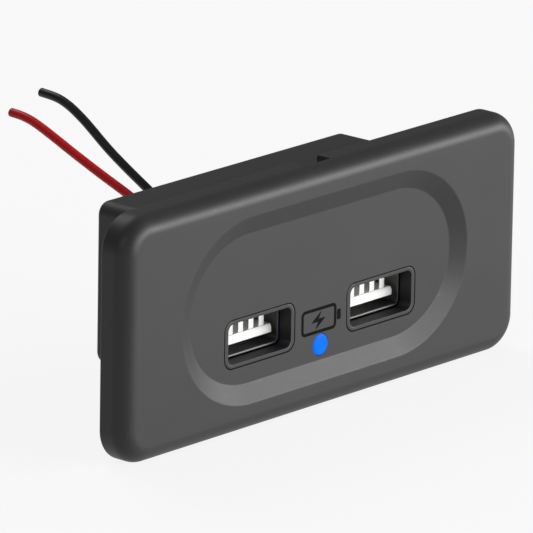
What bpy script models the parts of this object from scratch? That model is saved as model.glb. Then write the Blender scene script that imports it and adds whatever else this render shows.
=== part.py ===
"""A flush-mount twin USB charging port for a vehicle trim panel.

The frame: +X to the right and +Z up as a user sees the panel, who looks along +Y.
The origin is the middle of the flange's back plane, which seats on the trim.
"""

import math

import bmesh
import bpy
import numpy as np
from mathutils import Matrix, Vector

MM = 0.001
ROUND_SIDES = 24

# Clearances: between moulded or fixed pieces, and where a small piece is soldered or pressed home
CLEARANCE = 0.3 * MM
SEAT_GAP = 0.15 * MM

# Front panel
PANEL_WIDTH = 81.4 * MM
PANEL_HEIGHT = 34.7 * MM
PANEL_THICKNESS = 4.7 * MM
PANEL_CORNER_RADIUS = 5.0 * MM
PANEL_EDGE_RADIUS = 2.5 * MM
PANEL_RIM_WALL = 2.2 * MM
RECESS_MARGIN_X = 11.35 * MM
RECESS_MARGIN_Z = 4.1 * MM
RECESS_END_RADIUS_X = 14.3 * MM
RECESS_END_STRAIGHT = 0.7 * MM
RECESS_SLOPE = 2.6 * MM
RECESS_DEPTH = 1.1 * MM
FLOOR_WALL = 1.3 * MM
NOTCH_WIDTH = 5.4 * MM
NOTCH_LENGTH = 2.4 * MM
NOTCH_DEPTH = 1.4 * MM
FRAME_WALL = 1.0 * MM
RIB_WALL = 1.0 * MM
BOTTOM_RIBS = 4
SIDE_RIBS = 3

# Rear housing
HOUSING_WALL = 1.2 * MM
HOUSING_SIDE_ROOM = 5.3 * MM
HOUSING_TOP_MARGIN = 1.65 * MM
HOUSING_FLOOR_ROOM = 0.36 * MM
HOUSING_REAR_ROOM = 1.3 * MM
HOUSING_CORNER_RADIUS = 2.0 * MM
HOUSING_REAR_RADIUS = 0.7 * MM
HOUSING_DRAFT = 0.2 * MM
RAIL_HEIGHT = 1.0 * MM
RAIL_GRIP = 0.9 * MM

# Ports, as seen from the front: the place of their middle and their collars
PORT_SPACING = 25.0 * MM
PORT_Z = -4.55 * MM
COLLAR_MARGIN_X = 0.08 * MM
COLLAR_MARGIN_Z = 0.43 * MM
COLLAR_FRAME_X = 0.69 * MM
COLLAR_FRAME_Z = 0.51 * MM
COLLAR_CORNER_RADIUS = 1.5 * MM
COLLAR_GAP = 0.16 * MM
COLLAR_LIP = 0.4 * MM
COLLAR_LIP_THICKNESS = 0.5 * MM

# USB-A receptacle
SHELL_OPENING_WIDTH = 12.6 * MM
SHELL_OPENING_HEIGHT = 4.9 * MM
SHELL_SHEET = 0.3 * MM
SHELL_BEND_RADIUS = 0.6 * MM
SHELL_LENGTH = 13.7 * MM
TAIL_WINDOW_MARGIN = 1.0 * MM
LEG_LENGTH_Y = 1.6 * MM
LEG_OFFSET = 1.05 * MM
SPRING_WIDTH = 2.0 * MM
SPRING_ROOT_WALL = 2.0 * MM
SPRING_SLOT = 0.35 * MM
SPRING_SETBACK = 3.4 * MM
SPRING_OFFSET = 3.2 * MM
SPRING_DIP = 0.4 * MM
SIDE_SPRING_LENGTH = 3.0 * MM
TONGUE_SIDE_ROOM = 0.75 * MM
TONGUE_THICKNESS = 1.25 * MM
TONGUE_TOP = 0.0 * MM
TONGUE_SETBACK = 0.5 * MM
TONGUE_CHAMFER = 0.4 * MM
BLOCK_LENGTH = 4.2 * MM
BLOCK_SETBACK = 0.3 * MM
CONTACTS = 4
CONTACT_PITCH = 2.1 * MM
CONTACT_WIDTH = 1.0 * MM
CONTACT_SHEET = 0.25 * MM
CONTACT_NOSE_HEIGHT = 1.55 * MM
CONTACT_NOSE_SETBACK = 0.2 * MM
CONTACT_RAMP_LENGTH = 5.5 * MM
CONTACT_BEND_RADIUS = 0.35 * MM
TAIL_INSET = 2.0 * MM
TAIL_PROUD = 0.8 * MM

# Light pipe and its light-emitting chip
LIGHT_DROP = 3.89 * MM
LIGHT_DIAMETER = 3.0 * MM
LIGHT_PROUD = 0.15 * MM
LIGHT_GAP = 0.08 * MM
LIGHT_BAR_THICKNESS = 2.1 * MM
LIGHT_CHIP_WIDTH = 1.6 * MM
LIGHT_CHIP_LENGTH = 0.9 * MM
LIGHT_CHIP_HEIGHT = 0.7 * MM

# Circuit board
BOARD_THICKNESS = 1.6 * MM
BOARD_SIDE_GAP = 0.5 * MM
BOARD_REAR_GAP = 1.0 * MM
BOARD_FRONT = -0.6 * MM
HOLE_MARGIN = 0.35 * MM

# Parts on the board
PART_ROOM = 1.2 * MM
LEAD_REACH = 0.22
TERMINAL_GRIP = 0.08
INDUCTOR_DIAMETER = 7.0 * MM
INDUCTOR_WAIST = 3.6 * MM
INDUCTOR_HEIGHT = 5.2 * MM
INDUCTOR_CHEEK = 0.9 * MM
INPUT_CAPACITOR_DIAMETER = 8.0 * MM
INPUT_CAPACITOR_HEIGHT = 9.0 * MM
OUTPUT_CAPACITOR_DIAMETER = 4.0 * MM
OUTPUT_CAPACITOR_HEIGHT = 5.4 * MM
CONVERTER_LENGTH = 4.9 * MM
CONVERTER_WIDTH = 3.9 * MM
CONVERTER_HEIGHT = 1.5 * MM
CONTROLLER_LENGTH = 2.9 * MM
CONTROLLER_WIDTH = 1.6 * MM
CONTROLLER_HEIGHT = 1.1 * MM
DIODE_LENGTH = 3.4 * MM
DIODE_WIDTH = 2.2 * MM
DIODE_HEIGHT = 1.6 * MM
FUSE_LENGTH = 3.2 * MM
FUSE_WIDTH = 1.6 * MM
FUSE_HEIGHT = 1.1 * MM

# Wires and their grommet
WIRE_DIAMETER = 1.26 * MM
WIRE_SPACING = 3.8 * MM
WIRE_PAIR_X = -11.7 * MM
WIRE_DROP = 4.3 * MM
WIRE_PAD_INSET = 2.2 * MM
WIRE_POINT_SPACING = 2.4 * WIRE_DIAMETER
GROMMET_WALL = 0.9 * MM
GROMMET_LIP = 0.7 * MM
GROMMET_LIP_THICKNESS = 0.7 * MM
GROMMET_HOLE_GAP = 0.17 * MM

# Housing screws
SCREW_INSET = 4.0 * MM
SCREW_HEAD_DIAMETER = 3.6 * MM
SCREW_HEAD_HEIGHT = 1.3 * MM
SCREW_SHANK_DIAMETER = 1.9 * MM
SCREW_POINT_ROOM = 0.3 * MM
SCREW_BOSS_WALL = 0.9 * MM
SCREW_SEAT_WALL = 4.6 * MM
POST_HEIGHT = 2.6 * MM

# Places and sizes that follow from those above
RECESS_WIDTH = PANEL_WIDTH - 2 * RECESS_MARGIN_X
RECESS_HEIGHT = PANEL_HEIGHT - 2 * RECESS_MARGIN_Z
RECESS_END_RADIUS_Z = (RECESS_HEIGHT - RECESS_END_STRAIGHT) / 2
PANEL_FRONT = -PANEL_THICKNESS
RECESS_FLOOR = PANEL_FRONT + RECESS_DEPTH
FLOOR_BACK = RECESS_FLOOR + FLOOR_WALL
COLLAR_WINDOW_WIDTH = SHELL_OPENING_WIDTH + 2 * COLLAR_MARGIN_X
COLLAR_WINDOW_HEIGHT = SHELL_OPENING_HEIGHT + 2 * COLLAR_MARGIN_Z
COLLAR_WIDTH = COLLAR_WINDOW_WIDTH + 2 * COLLAR_FRAME_X
COLLAR_HEIGHT = COLLAR_WINDOW_HEIGHT + 2 * COLLAR_FRAME_Z
COLLAR_BACK = FLOOR_BACK + CLEARANCE + COLLAR_LIP_THICKNESS
SHELL_FRONT = COLLAR_BACK + CLEARANCE
SHEET_SKIN = SHELL_SHEET / 8
SHELL_WIDTH = SHELL_OPENING_WIDTH + 2 * SHELL_SHEET
SHELL_HEIGHT = SHELL_OPENING_HEIGHT + 2 * SHELL_SHEET
SHELL_BACK = SHELL_FRONT + SHELL_LENGTH
LEG_FRONT = (SHELL_FRONT + SHELL_BACK) / 2 + LEG_OFFSET - LEG_LENGTH_Y / 2
LEG_X = (SHELL_WIDTH - SHELL_SHEET) / 2
TONGUE_WIDTH = SHELL_OPENING_WIDTH - 2 * TONGUE_SIDE_ROOM
BLOCK_BACK = SHELL_BACK - BLOCK_SETBACK
BLOCK_FRONT = BLOCK_BACK - BLOCK_LENGTH
TAIL_Y = BLOCK_BACK - TAIL_INSET
TAIL_HALF_WIDTH = ((CONTACTS - 1) * CONTACT_PITCH + CONTACT_WIDTH) / 2
TAIL_WINDOW_FRONT = TAIL_Y - TAIL_WINDOW_MARGIN
SPRING_FRONT = SHELL_FRONT + SPRING_SETBACK
SPRING_LENGTH = TAIL_WINDOW_FRONT - SPRING_ROOT_WALL - SPRING_FRONT
LIGHT_Z = PORT_Z - LIGHT_DROP
BOARD_BOTTOM = PORT_Z + SHELL_HEIGHT / 2 + CLEARANCE
BOARD_TOP = BOARD_BOTTOM + BOARD_THICKNESS
PART_SEAT = BOARD_TOP + SEAT_GAP
HOUSING_WIDTH = PORT_SPACING + SHELL_WIDTH + 2 * (HOUSING_SIDE_ROOM + HOUSING_WALL)
HOUSING_TOP = PANEL_HEIGHT / 2 - PANEL_RIM_WALL - HOUSING_TOP_MARGIN
HOUSING_BOTTOM = PORT_Z - COLLAR_HEIGHT / 2 - COLLAR_LIP - HOUSING_FLOOR_ROOM - HOUSING_WALL
HOUSING_HEIGHT = HOUSING_TOP - HOUSING_BOTTOM
HOUSING_Z = (HOUSING_TOP + HOUSING_BOTTOM) / 2
HOUSING_FRONT = FLOOR_BACK + CLEARANCE
HOUSING_REAR_INSIDE = SHELL_BACK + HOUSING_REAR_ROOM
HOUSING_DEPTH = HOUSING_REAR_INSIDE + HOUSING_WALL
HOUSING_INSIDE = HOUSING_WIDTH - 2 * HOUSING_WALL
BOARD_BACK = HOUSING_REAR_INSIDE - BOARD_REAR_GAP
BOARD_WIDTH = HOUSING_INSIDE - 2 * HOUSING_DRAFT - 2 * BOARD_SIDE_GAP
SCREW_X = HOUSING_WIDTH / 2 - SCREW_INSET
SCREW_Z = HOUSING_TOP - SCREW_INSET
SCREW_SEAT_Y = FLOOR_BACK + POST_HEIGHT + CLEARANCE + SCREW_SEAT_WALL
SCREW_LENGTH = SCREW_SEAT_WALL + CLEARANCE + POST_HEIGHT - SCREW_POINT_ROOM
WIRE_Z = HOUSING_TOP - WIRE_DROP
WIRE_PAD_Y = TAIL_Y - WIRE_PAD_INSET
WIRE_HOLE_DIAMETER = WIRE_DIAMETER + 2 * GROMMET_HOLE_GAP
GROMMET_HEIGHT = WIRE_HOLE_DIAMETER + 2 * GROMMET_WALL
GROMMET_WIDTH = WIRE_SPACING + GROMMET_HEIGHT

PARTS_NAME = "car_usb_charging_port"


def clear_scene():
    for obj in list(bpy.data.objects):
        bpy.data.objects.remove(obj, do_unlink=True)


def new_collection(name, hidden=False):
    made = bpy.data.collections.new(name)
    bpy.context.scene.collection.children.link(made)
    made.hide_render = hidden
    return made


def new_material(name, colour, roughness, metallic=0.0):
    made = bpy.data.materials.new(name)
    made.use_nodes = True
    shader = made.node_tree.nodes["Principled BSDF"]
    shader.inputs["Base Color"].default_value = (*colour, 1.0)
    shader.inputs["Roughness"].default_value = roughness
    shader.inputs["Metallic"].default_value = metallic
    made.diffuse_color = (*colour, 1.0)
    return made


def new_empty(name, location, parent=None):
    made = bpy.data.objects.new(name, None)
    made.location = location
    made.parent = parent
    parts.objects.link(made)
    return made


def mesh_of(name, shape, smooth_angle=None):
    """Turns a bmesh into a mesh, with its faces pointing out."""
    bmesh.ops.recalc_face_normals(shape, faces=shape.faces)
    mesh = bpy.data.meshes.new(name)
    shape.to_mesh(mesh)
    shape.free()
    if smooth_angle is not None:
        mesh.shade_smooth()
        mesh.set_sharp_from_angle(angle=math.radians(smooth_angle))
    return mesh


def add_part(name, data, material, location=(0, 0, 0), parent=None):
    """One physical piece, under the root empty or under a port's own empty."""
    made = bpy.data.objects.new(name, data)
    made.location = location
    made.parent = parent or root
    if not data.materials:
        data.materials.append(material)
    parts.objects.link(made)
    return made


def add_cutter(name, mesh, target):
    made = bpy.data.objects.new(name, mesh)
    made.location = target.location
    made.parent = target.parent
    made.hide_render = True
    made.display_type = "WIRE"
    cutters.objects.link(made)
    return made


def boolean(target, name, mesh, operation="DIFFERENCE"):
    modifier = target.modifiers.new(name, "BOOLEAN")
    modifier.operation = operation
    modifier.solver = "EXACT"
    modifier.object = add_cutter(f"{target.name}_{name}", mesh, target)


def add_block(shape, low, high):
    """A rectangular block between two corners."""
    low, high = Vector(low), Vector(high)
    place = Matrix.Translation((low + high) / 2) @ Matrix.Diagonal((*(high - low), 1.0))
    return bmesh.ops.create_cube(shape, size=1.0, matrix=place)["verts"]


def add_rod(shape, x, z, diameter, front, back, sides=ROUND_SIDES):
    """A round rod along Y."""
    place = Matrix.Translation((x, (front + back) / 2, z)) @ Matrix.Rotation(math.pi / 2, 4, "X")
    bmesh.ops.create_cone(
        shape, cap_ends=True, segments=sides, radius1=diameter / 2, radius2=diameter / 2,
        depth=back - front, matrix=place,
    )


def edges_along_y(shape):
    return [e for e in shape.edges if abs((e.verts[0].co - e.verts[1].co).normalized().y) > 0.99]


def edges_round(shape, y):
    """The edges of the flat face at this depth."""
    return [e for e in shape.edges if all(abs(v.co.y - y) < 1e-7 for v in e.verts)]


def round_edges(shape, edges, radius, segments):
    bmesh.ops.bevel(
        shape, geom=edges, offset=radius, offset_type="OFFSET", segments=segments, profile=0.5,
        affect="EDGES", clamp_overlap=True,
    )


def outline(width, height, radius_x, radius_z, x=0.0, z=0.0, steps=5):
    """Points round a rectangle whose corners are quarter ellipses, counterclockwise from the right."""
    points = []
    for quarter in range(4):
        side_x = (1, -1, -1, 1)[quarter]
        side_z = (1, 1, -1, -1)[quarter]
        middle_x = x + side_x * (width / 2 - radius_x)
        middle_z = z + side_z * (height / 2 - radius_z)
        for step in range(steps + 1):
            angle = math.pi / 2 * (quarter + step / steps)
            points.append((middle_x + radius_x * math.cos(angle), middle_z + radius_z * math.sin(angle)))
    return points


def loft(shape, sections, ring=False):
    """Joins outlines at successive depths: capped at both ends, or closed into a tube with a wall."""
    loops = [[shape.verts.new((px, y, pz)) for px, pz in points] for y, points in sections]
    pairs = list(zip(loops, loops[1:]))
    if ring:
        pairs.append((loops[-1], loops[0]))
    else:
        shape.faces.new(loops[0])
        shape.faces.new(loops[-1])
    for first, second in pairs:
        for i in range(len(first)):
            j = (i + 1) % len(first)
            shape.faces.new((first[i], first[j], second[j], second[i]))


def turned(name, profile, material, location, parent=None, sides=ROUND_SIDES, closed=False):
    """A piece turned about its own Z axis from a profile of radius and height, top to bottom."""
    shape = bmesh.new()
    points = [shape.verts.new((radius, 0, height)) for radius, height in profile]
    for first, second in zip(points, points[1:]):
        shape.edges.new((first, second))
    if closed:
        shape.edges.new((points[-1], points[0]))
    mesh = bpy.data.meshes.new(name)
    shape.to_mesh(mesh)
    shape.free()
    made = add_part(name, mesh, material, location, parent)
    screw = made.modifiers.new("turn", "SCREW")
    screw.axis = "Z"
    screw.angle = math.tau
    screw.steps = sides
    screw.render_steps = sides
    screw.use_merge_vertices = True
    screw.merge_threshold = 0.00001
    screw.use_smooth_shade = True
    return made


def rounded_path(points, radius, steps=4):
    """A path whose inner corners are arcs of about this radius."""
    points = [Vector(p) for p in points]
    path = [points[0]]
    for before, corner, after in zip(points, points[1:], points[2:]):
        into = (before - corner).normalized()
        out = (after - corner).normalized()
        half = into.angle(out) / 2
        reach = min(radius / math.tan(half), (before - corner).length / 2, (after - corner).length / 2)
        bend = reach * math.tan(half)
        middle = corner + (into + out).normalized() * (bend / math.sin(half))
        start = corner + into * reach - middle
        end = corner + out * reach - middle
        for step in range(steps + 1):
            path.append(middle + start.lerp(end, step / steps).normalized() * bend)
    path.append(points[-1])
    return path


def strip_outline(path, thickness):
    """The two sides of a strip that follows a path, as one closed outline."""
    sides = []
    for i, point in enumerate(path):
        run_in = (point - path[i - 1]).normalized() if i else (path[1] - point).normalized()
        run_out = (path[i + 1] - point).normalized() if i + 1 < len(path) else run_in
        along = (run_in + run_out).normalized()
        across = Vector((-along.y, along.x)) / max(along.dot(run_in), 0.5)
        sides.append((point + across * thickness / 2, point - across * thickness / 2))
    return [left for left, _ in sides] + [right for _, right in reversed(sides)]


def smooth_route(points, spacing):
    """Points at even spacing along a smooth curve through a route."""
    route = np.array([points[0], *points, points[-1]], float)
    curve = []
    for a, b, c, d in zip(route, route[1:], route[2:], route[3:]):
        for t in np.linspace(0, 1, 24, endpoint=False):
            curve.append(0.5 * (2 * b + (c - a) * t + (2 * a - 5 * b + 4 * c - d) * t**2
                                + (3 * b - a - 3 * c + d) * t**3))
    curve.append(route[-1])
    curve = np.array(curve)
    reached = np.concatenate([[0], np.cumsum(np.linalg.norm(np.diff(curve, axis=0), axis=1))])
    places = np.linspace(0, reached[-1], round(reached[-1] / spacing) + 1)
    return np.stack([np.interp(places, reached, curve[:, axis]) for axis in range(3)], axis=1)


def panel_outline(inset, steps=5):
    radius = PANEL_CORNER_RADIUS - inset
    return outline(PANEL_WIDTH - 2 * inset, PANEL_HEIGHT - 2 * inset, radius, radius, steps=steps)


def housing_outline(grow, steps=4):
    radius = HOUSING_CORNER_RADIUS + grow
    return outline(
        HOUSING_WIDTH + 2 * grow, HOUSING_HEIGHT + 2 * grow, radius, radius, z=HOUSING_Z, steps=steps
    )


def collar_outline(grow, x=0.0, z=0.0):
    radius = COLLAR_CORNER_RADIUS + grow
    return outline(COLLAR_WIDTH + 2 * grow, COLLAR_HEIGHT + 2 * grow, radius, radius, x, z, steps=4)


def port_places():
    return (("left", -PORT_SPACING / 2), ("right", PORT_SPACING / 2))


def build_front_panel(material):
    """The moulded panel: slab with a rounded front edge, hollow behind, sunk oblong field in front."""
    slab = bmesh.new()
    add_block(
        slab,
        (-PANEL_WIDTH / 2, PANEL_FRONT, -PANEL_HEIGHT / 2),
        (PANEL_WIDTH / 2, 0, PANEL_HEIGHT / 2),
    )
    round_edges(slab, edges_along_y(slab), PANEL_CORNER_RADIUS, 7)
    round_edges(slab, edges_round(slab, PANEL_FRONT), PANEL_EDGE_RADIUS, 6)
    panel = add_part("front_panel", mesh_of("front_panel", slab, 40), material)

    hollow = bmesh.new()
    loft(hollow, [(FLOOR_BACK, panel_outline(PANEL_RIM_WALL)), (CLEARANCE, panel_outline(PANEL_RIM_WALL))])
    boolean(panel, "back_hollow", mesh_of("back_hollow", hollow))

    overlap = FLOOR_WALL / 2
    frame = bmesh.new()
    inside = housing_outline(CLEARANCE)
    outside = housing_outline(CLEARANCE + FRAME_WALL)
    base = FLOOR_BACK - overlap
    loft(frame, [(base, outside), (0, outside), (0, inside), (base, inside)], ring=True)
    boolean(panel, "locating_frame", mesh_of("locating_frame", frame), "UNION")

    ribs = bmesh.new()
    rim_x = PANEL_WIDTH / 2 - PANEL_RIM_WALL / 2
    rim_z = PANEL_HEIGHT / 2 - PANEL_RIM_WALL / 2
    frame_x = HOUSING_WIDTH / 2 + CLEARANCE + FRAME_WALL / 2
    frame_bottom = HOUSING_BOTTOM - CLEARANCE - FRAME_WALL / 2
    rib_back = -CLEARANCE
    for i in range(BOTTOM_RIBS):
        x = HOUSING_WIDTH * (i / (BOTTOM_RIBS - 1) - 0.5) * 0.8
        add_block(ribs, (x - RIB_WALL / 2, base, -rim_z), (x + RIB_WALL / 2, rib_back, frame_bottom))
    for i in range(SIDE_RIBS):
        z = HOUSING_Z + HOUSING_HEIGHT * (i / (SIDE_RIBS - 1) - 0.5) * 0.7
        for low, high in ((-rim_x, -frame_x), (frame_x, rim_x)):
            add_block(ribs, (low, base, z - RIB_WALL / 2), (high, rib_back, z + RIB_WALL / 2))
    boolean(panel, "back_ribs", mesh_of("back_ribs", ribs), "UNION")

    posts = bmesh.new()
    post_diameter = SCREW_SHANK_DIAMETER + 2 * (SCREW_BOSS_WALL + SEAT_GAP)
    for side in (-1, 1):
        add_rod(posts, side * SCREW_X, SCREW_Z, post_diameter, base, FLOOR_BACK + POST_HEIGHT)
    boolean(panel, "screw_posts", mesh_of("screw_posts", posts), "UNION")

    recess = bmesh.new()
    floor_outline = outline(
        RECESS_WIDTH - 2 * RECESS_SLOPE, RECESS_HEIGHT - 2 * RECESS_SLOPE,
        RECESS_END_RADIUS_X - RECESS_SLOPE, RECESS_END_RADIUS_Z - RECESS_SLOPE, steps=14,
    )
    mouth_outline = outline(
        RECESS_WIDTH, RECESS_HEIGHT, RECESS_END_RADIUS_X, RECESS_END_RADIUS_Z, steps=14
    )
    air = PANEL_FRONT - RECESS_DEPTH
    loft(recess, [(air, mouth_outline), (PANEL_FRONT, mouth_outline), (RECESS_FLOOR, floor_outline)])
    boolean(panel, "recess", mesh_of("recess", recess))

    holes = bmesh.new()
    through = (RECESS_FLOOR - FLOOR_WALL, FLOOR_BACK + FLOOR_WALL / 2)
    for _, x in port_places():
        loft(holes, [(y, collar_outline(COLLAR_GAP, x, PORT_Z)) for y in through])
    add_rod(holes, 0, LIGHT_Z, LIGHT_DIAMETER + 2 * LIGHT_GAP, *through)
    for side in (-1, 1):
        pilot = SCREW_SHANK_DIAMETER + 2 * SEAT_GAP
        add_rod(holes, side * SCREW_X, SCREW_Z, pilot, FLOOR_BACK, FLOOR_BACK + 2 * POST_HEIGHT, 16)
    boolean(panel, "holes", mesh_of("holes", holes))

    notch = bmesh.new()
    top = PANEL_HEIGHT / 2
    add_block(
        notch,
        (-NOTCH_WIDTH / 2, -NOTCH_LENGTH, top - NOTCH_DEPTH),
        (NOTCH_WIDTH / 2, NOTCH_LENGTH, top + NOTCH_DEPTH),
    )
    boolean(panel, "pry_notch", mesh_of("pry_notch", notch))


def drafted_box(front, back, inset, radius):
    """A block the shape of the housing, smaller by an inset, whose sides lean in towards the back."""
    box = bmesh.new()
    half_x = HOUSING_WIDTH / 2 - inset
    half_z = HOUSING_HEIGHT / 2 - inset
    add_block(box, (-half_x, front, HOUSING_Z - half_z), (half_x, back, HOUSING_Z + half_z))
    for vertex in box.verts:
        if vertex.co.y > 0:
            vertex.co.x -= math.copysign(HOUSING_DRAFT, vertex.co.x)
            vertex.co.z -= math.copysign(HOUSING_DRAFT, vertex.co.z - HOUSING_Z)
    round_edges(box, edges_along_y(box), radius, 4)
    return box


def build_rear_housing(material):
    """The box behind the panel: a thin shell open to the front, with board rails and screw bosses."""
    box = drafted_box(HOUSING_FRONT, HOUSING_DEPTH, 0, HOUSING_CORNER_RADIUS)
    round_edges(box, edges_round(box, HOUSING_DEPTH), HOUSING_REAR_RADIUS, 2)
    housing = add_part("rear_housing", mesh_of("rear_housing", box, 40), material)
    cavity = drafted_box(
        HOUSING_FRONT - HOUSING_WALL, HOUSING_REAR_INSIDE, HOUSING_WALL, HOUSING_CORNER_RADIUS - HOUSING_WALL
    )
    boolean(housing, "cavity", mesh_of("cavity", cavity))

    wall_x = HOUSING_INSIDE / 2 + HOUSING_WALL / 2
    rail_x = BOARD_WIDTH / 2 - RAIL_GRIP
    rear = HOUSING_REAR_INSIDE + HOUSING_WALL / 2
    rails = bmesh.new()
    for low, high in (
        (BOARD_BOTTOM - CLEARANCE - RAIL_HEIGHT, BOARD_BOTTOM - CLEARANCE),
        (BOARD_TOP + CLEARANCE, BOARD_TOP + CLEARANCE + RAIL_HEIGHT),
    ):
        add_block(rails, (-wall_x, BOARD_FRONT, low), (-rail_x, rear, high))
        add_block(rails, (rail_x, BOARD_FRONT, low), (wall_x, rear, high))
    boolean(housing, "board_rails", mesh_of("board_rails", rails), "UNION")

    bosses = bmesh.new()
    bore = SCREW_HEAD_DIAMETER + 2 * CLEARANCE
    boss_front = FLOOR_BACK + POST_HEIGHT + CLEARANCE
    for side in (-1, 1):
        add_rod(bosses, side * SCREW_X, SCREW_Z, bore + 2 * SCREW_BOSS_WALL, boss_front, rear)
    boolean(housing, "screw_bosses", mesh_of("screw_bosses", bosses), "UNION")

    holes = bmesh.new()
    behind = HOUSING_DEPTH + HOUSING_WALL
    for side in (-1, 1):
        x = side * SCREW_X
        add_rod(holes, x, SCREW_Z, bore, SCREW_SEAT_Y, behind)
    boolean(housing, "counterbores", mesh_of("counterbores", holes))
    shanks = bmesh.new()
    for side in (-1, 1):
        x = side * SCREW_X
        shank = SCREW_SHANK_DIAMETER + 2 * CLEARANCE
        add_rod(shanks, x, SCREW_Z, shank, boss_front - HOUSING_WALL, SCREW_SEAT_Y + HOUSING_WALL / 2, 16)
    boolean(housing, "shank_holes", mesh_of("shank_holes", shanks))

    wire_hole = bmesh.new()
    neck = grommet_outline(SEAT_GAP)
    loft(wire_hole, [(HOUSING_REAR_INSIDE - HOUSING_WALL / 2, neck), (behind, neck)])
    boolean(housing, "grommet_hole", mesh_of("grommet_hole", wire_hole))

    foot = bmesh.new()
    half = LIGHT_DIAMETER / 2 + CLEARANCE
    light_back = FLOOR_BACK + CLEARANCE + LIGHT_BAR_THICKNESS
    add_block(
        foot,
        (-half, HOUSING_FRONT - HOUSING_WALL, HOUSING_BOTTOM - HOUSING_WALL),
        (half, light_back + CLEARANCE, HOUSING_BOTTOM + 1.2 * HOUSING_WALL),
    )
    boolean(housing, "light_pipe_notch", mesh_of("light_pipe_notch", foot))


def build_collar_mesh():
    """The frame round a port: flush with the sunk field, held by a lip behind its floor."""
    collar = bmesh.new()
    front = RECESS_FLOOR
    lip_front = FLOOR_BACK + CLEARANCE
    corner = COLLAR_CORNER_RADIUS - COLLAR_FRAME_Z
    window = outline(COLLAR_WINDOW_WIDTH, COLLAR_WINDOW_HEIGHT, corner, corner, steps=4)
    loft(
        collar,
        [
            (front, collar_outline(0)),
            (lip_front, collar_outline(0)),
            (lip_front, collar_outline(COLLAR_LIP)),
            (COLLAR_BACK, collar_outline(COLLAR_LIP)),
            (COLLAR_BACK, window),
            (front, window),
        ],
        ring=True,
    )
    return mesh_of("port_collar", collar, 40)


def build_shell(name, port, shared, material):
    """The folded steel shell of a receptacle, with lanced springs, board legs and a tail window."""
    if shared:
        return shared_copy(name, shared, port)
    outer_radius = SHELL_BEND_RADIUS + SHELL_SHEET
    outer = outline(SHELL_WIDTH, SHELL_HEIGHT, outer_radius, outer_radius, steps=3)
    inner = outline(
        SHELL_OPENING_WIDTH, SHELL_OPENING_HEIGHT, SHELL_BEND_RADIUS, SHELL_BEND_RADIUS, steps=3
    )
    tube = bmesh.new()
    ends = (SHELL_FRONT, SHELL_BACK)
    loft(tube, [(ends[0], outer), (ends[1], outer), (ends[1], inner), (ends[0], inner)], ring=True)
    shell = add_part(name, mesh_of("usb_shell", tube, 40), material, parent=port)

    openings = bmesh.new()
    springs = bmesh.new()
    for x in (-SPRING_OFFSET, SPRING_OFFSET):
        add_spring(openings, springs, x, SPRING_LENGTH, SHELL_OPENING_HEIGHT / 2, "Z")
    add_spring(openings, springs, 0, SIDE_SPRING_LENGTH, SHELL_OPENING_WIDTH / 2, "X")
    boolean(shell, "spring_openings", mesh_of("spring_openings", openings))
    boolean(shell, "springs", mesh_of("springs", springs), "UNION")

    legs = bmesh.new()
    leg_top = BOARD_TOP - PORT_Z + TAIL_PROUD
    near = SHELL_OPENING_WIDTH / 2 + SHEET_SKIN
    far = SHELL_WIDTH / 2 - SHEET_SKIN
    leg_back = LEG_FRONT + LEG_LENGTH_Y
    add_block(legs, (near, LEG_FRONT, SHELL_HEIGHT / 4), (far, leg_back, leg_top))
    add_block(legs, (-far, LEG_FRONT, SHELL_HEIGHT / 4), (-near, leg_back, leg_top))
    boolean(shell, "board_legs", mesh_of("board_legs", legs), "UNION")

    window = bmesh.new()
    half = TAIL_HALF_WIDTH + CONTACT_PITCH / 2
    add_block(
        window,
        (-half, TAIL_WINDOW_FRONT, SHELL_OPENING_HEIGHT / 4),
        (half, SHELL_BACK + SHELL_SHEET, SHELL_HEIGHT),
    )
    boolean(shell, "tail_window", mesh_of("tail_window", window))
    return shell


def add_spring(openings, springs, offset, length, inside, axis):
    """A sprung tab lanced from two opposite walls: its openings, and the tabs that dip into the port."""
    front = SPRING_FRONT
    back = front + length
    middle = inside + SHELL_SHEET / 2
    root = back + SPRING_SLOT
    tip = front + SPRING_SLOT
    path = rounded_path(
        [
            (root, middle),
            (back - SPRING_SLOT, middle),
            (tip + 2 * SHELL_SHEET, middle - SPRING_DIP),
            (tip, middle - SPRING_DIP / 2),
        ],
        SHELL_BEND_RADIUS,
        steps=2,
    )
    section = strip_outline(path, SHELL_SHEET - 2 * SHEET_SKIN)
    half = SPRING_WIDTH / 2
    for side in (-1, 1):
        near, far = sorted((side * inside / 2, side * 2 * inside))
        if axis == "Z":
            add_block(
                openings,
                (offset - half - SPRING_SLOT, front, near),
                (offset + half + SPRING_SLOT, back, far),
            )
            ends = [[(t, y, side * n) for y, n in section] for t in (offset - half, offset + half)]
        else:
            add_block(
                openings,
                (near, front, offset - half - SPRING_SLOT),
                (far, back, offset + half + SPRING_SLOT),
            )
            ends = [[(side * n, y, t) for y, n in section] for t in (offset - half, offset + half)]
        add_prism(springs, *ends)


def add_prism(shape, first, second):
    """A solid between two like outlines."""
    loops = [[shape.verts.new(point) for point in points] for points in (first, second)]
    shape.faces.new(loops[0])
    shape.faces.new(loops[1])
    for i in range(len(first)):
        j = (i + 1) % len(first)
        shape.faces.new((loops[0][i], loops[0][j], loops[1][j], loops[1][i]))


def shared_copy(name, source, port):
    """A second piece like the first: it shares the mesh and repeats the cuts at its own port."""
    made = add_part(name, source.data, None, parent=port)
    for cut in source.modifiers:
        repeat = made.modifiers.new(cut.name, cut.type)
        if cut.type == "BOOLEAN":
            repeat.operation = cut.operation
            repeat.solver = cut.solver
            repeat.object = add_cutter(f"{name}_{cut.name}", cut.object.data, made)
    return made


def contact_places():
    return [(i - (CONTACTS - 1) / 2) * CONTACT_PITCH for i in range(CONTACTS)]


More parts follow.
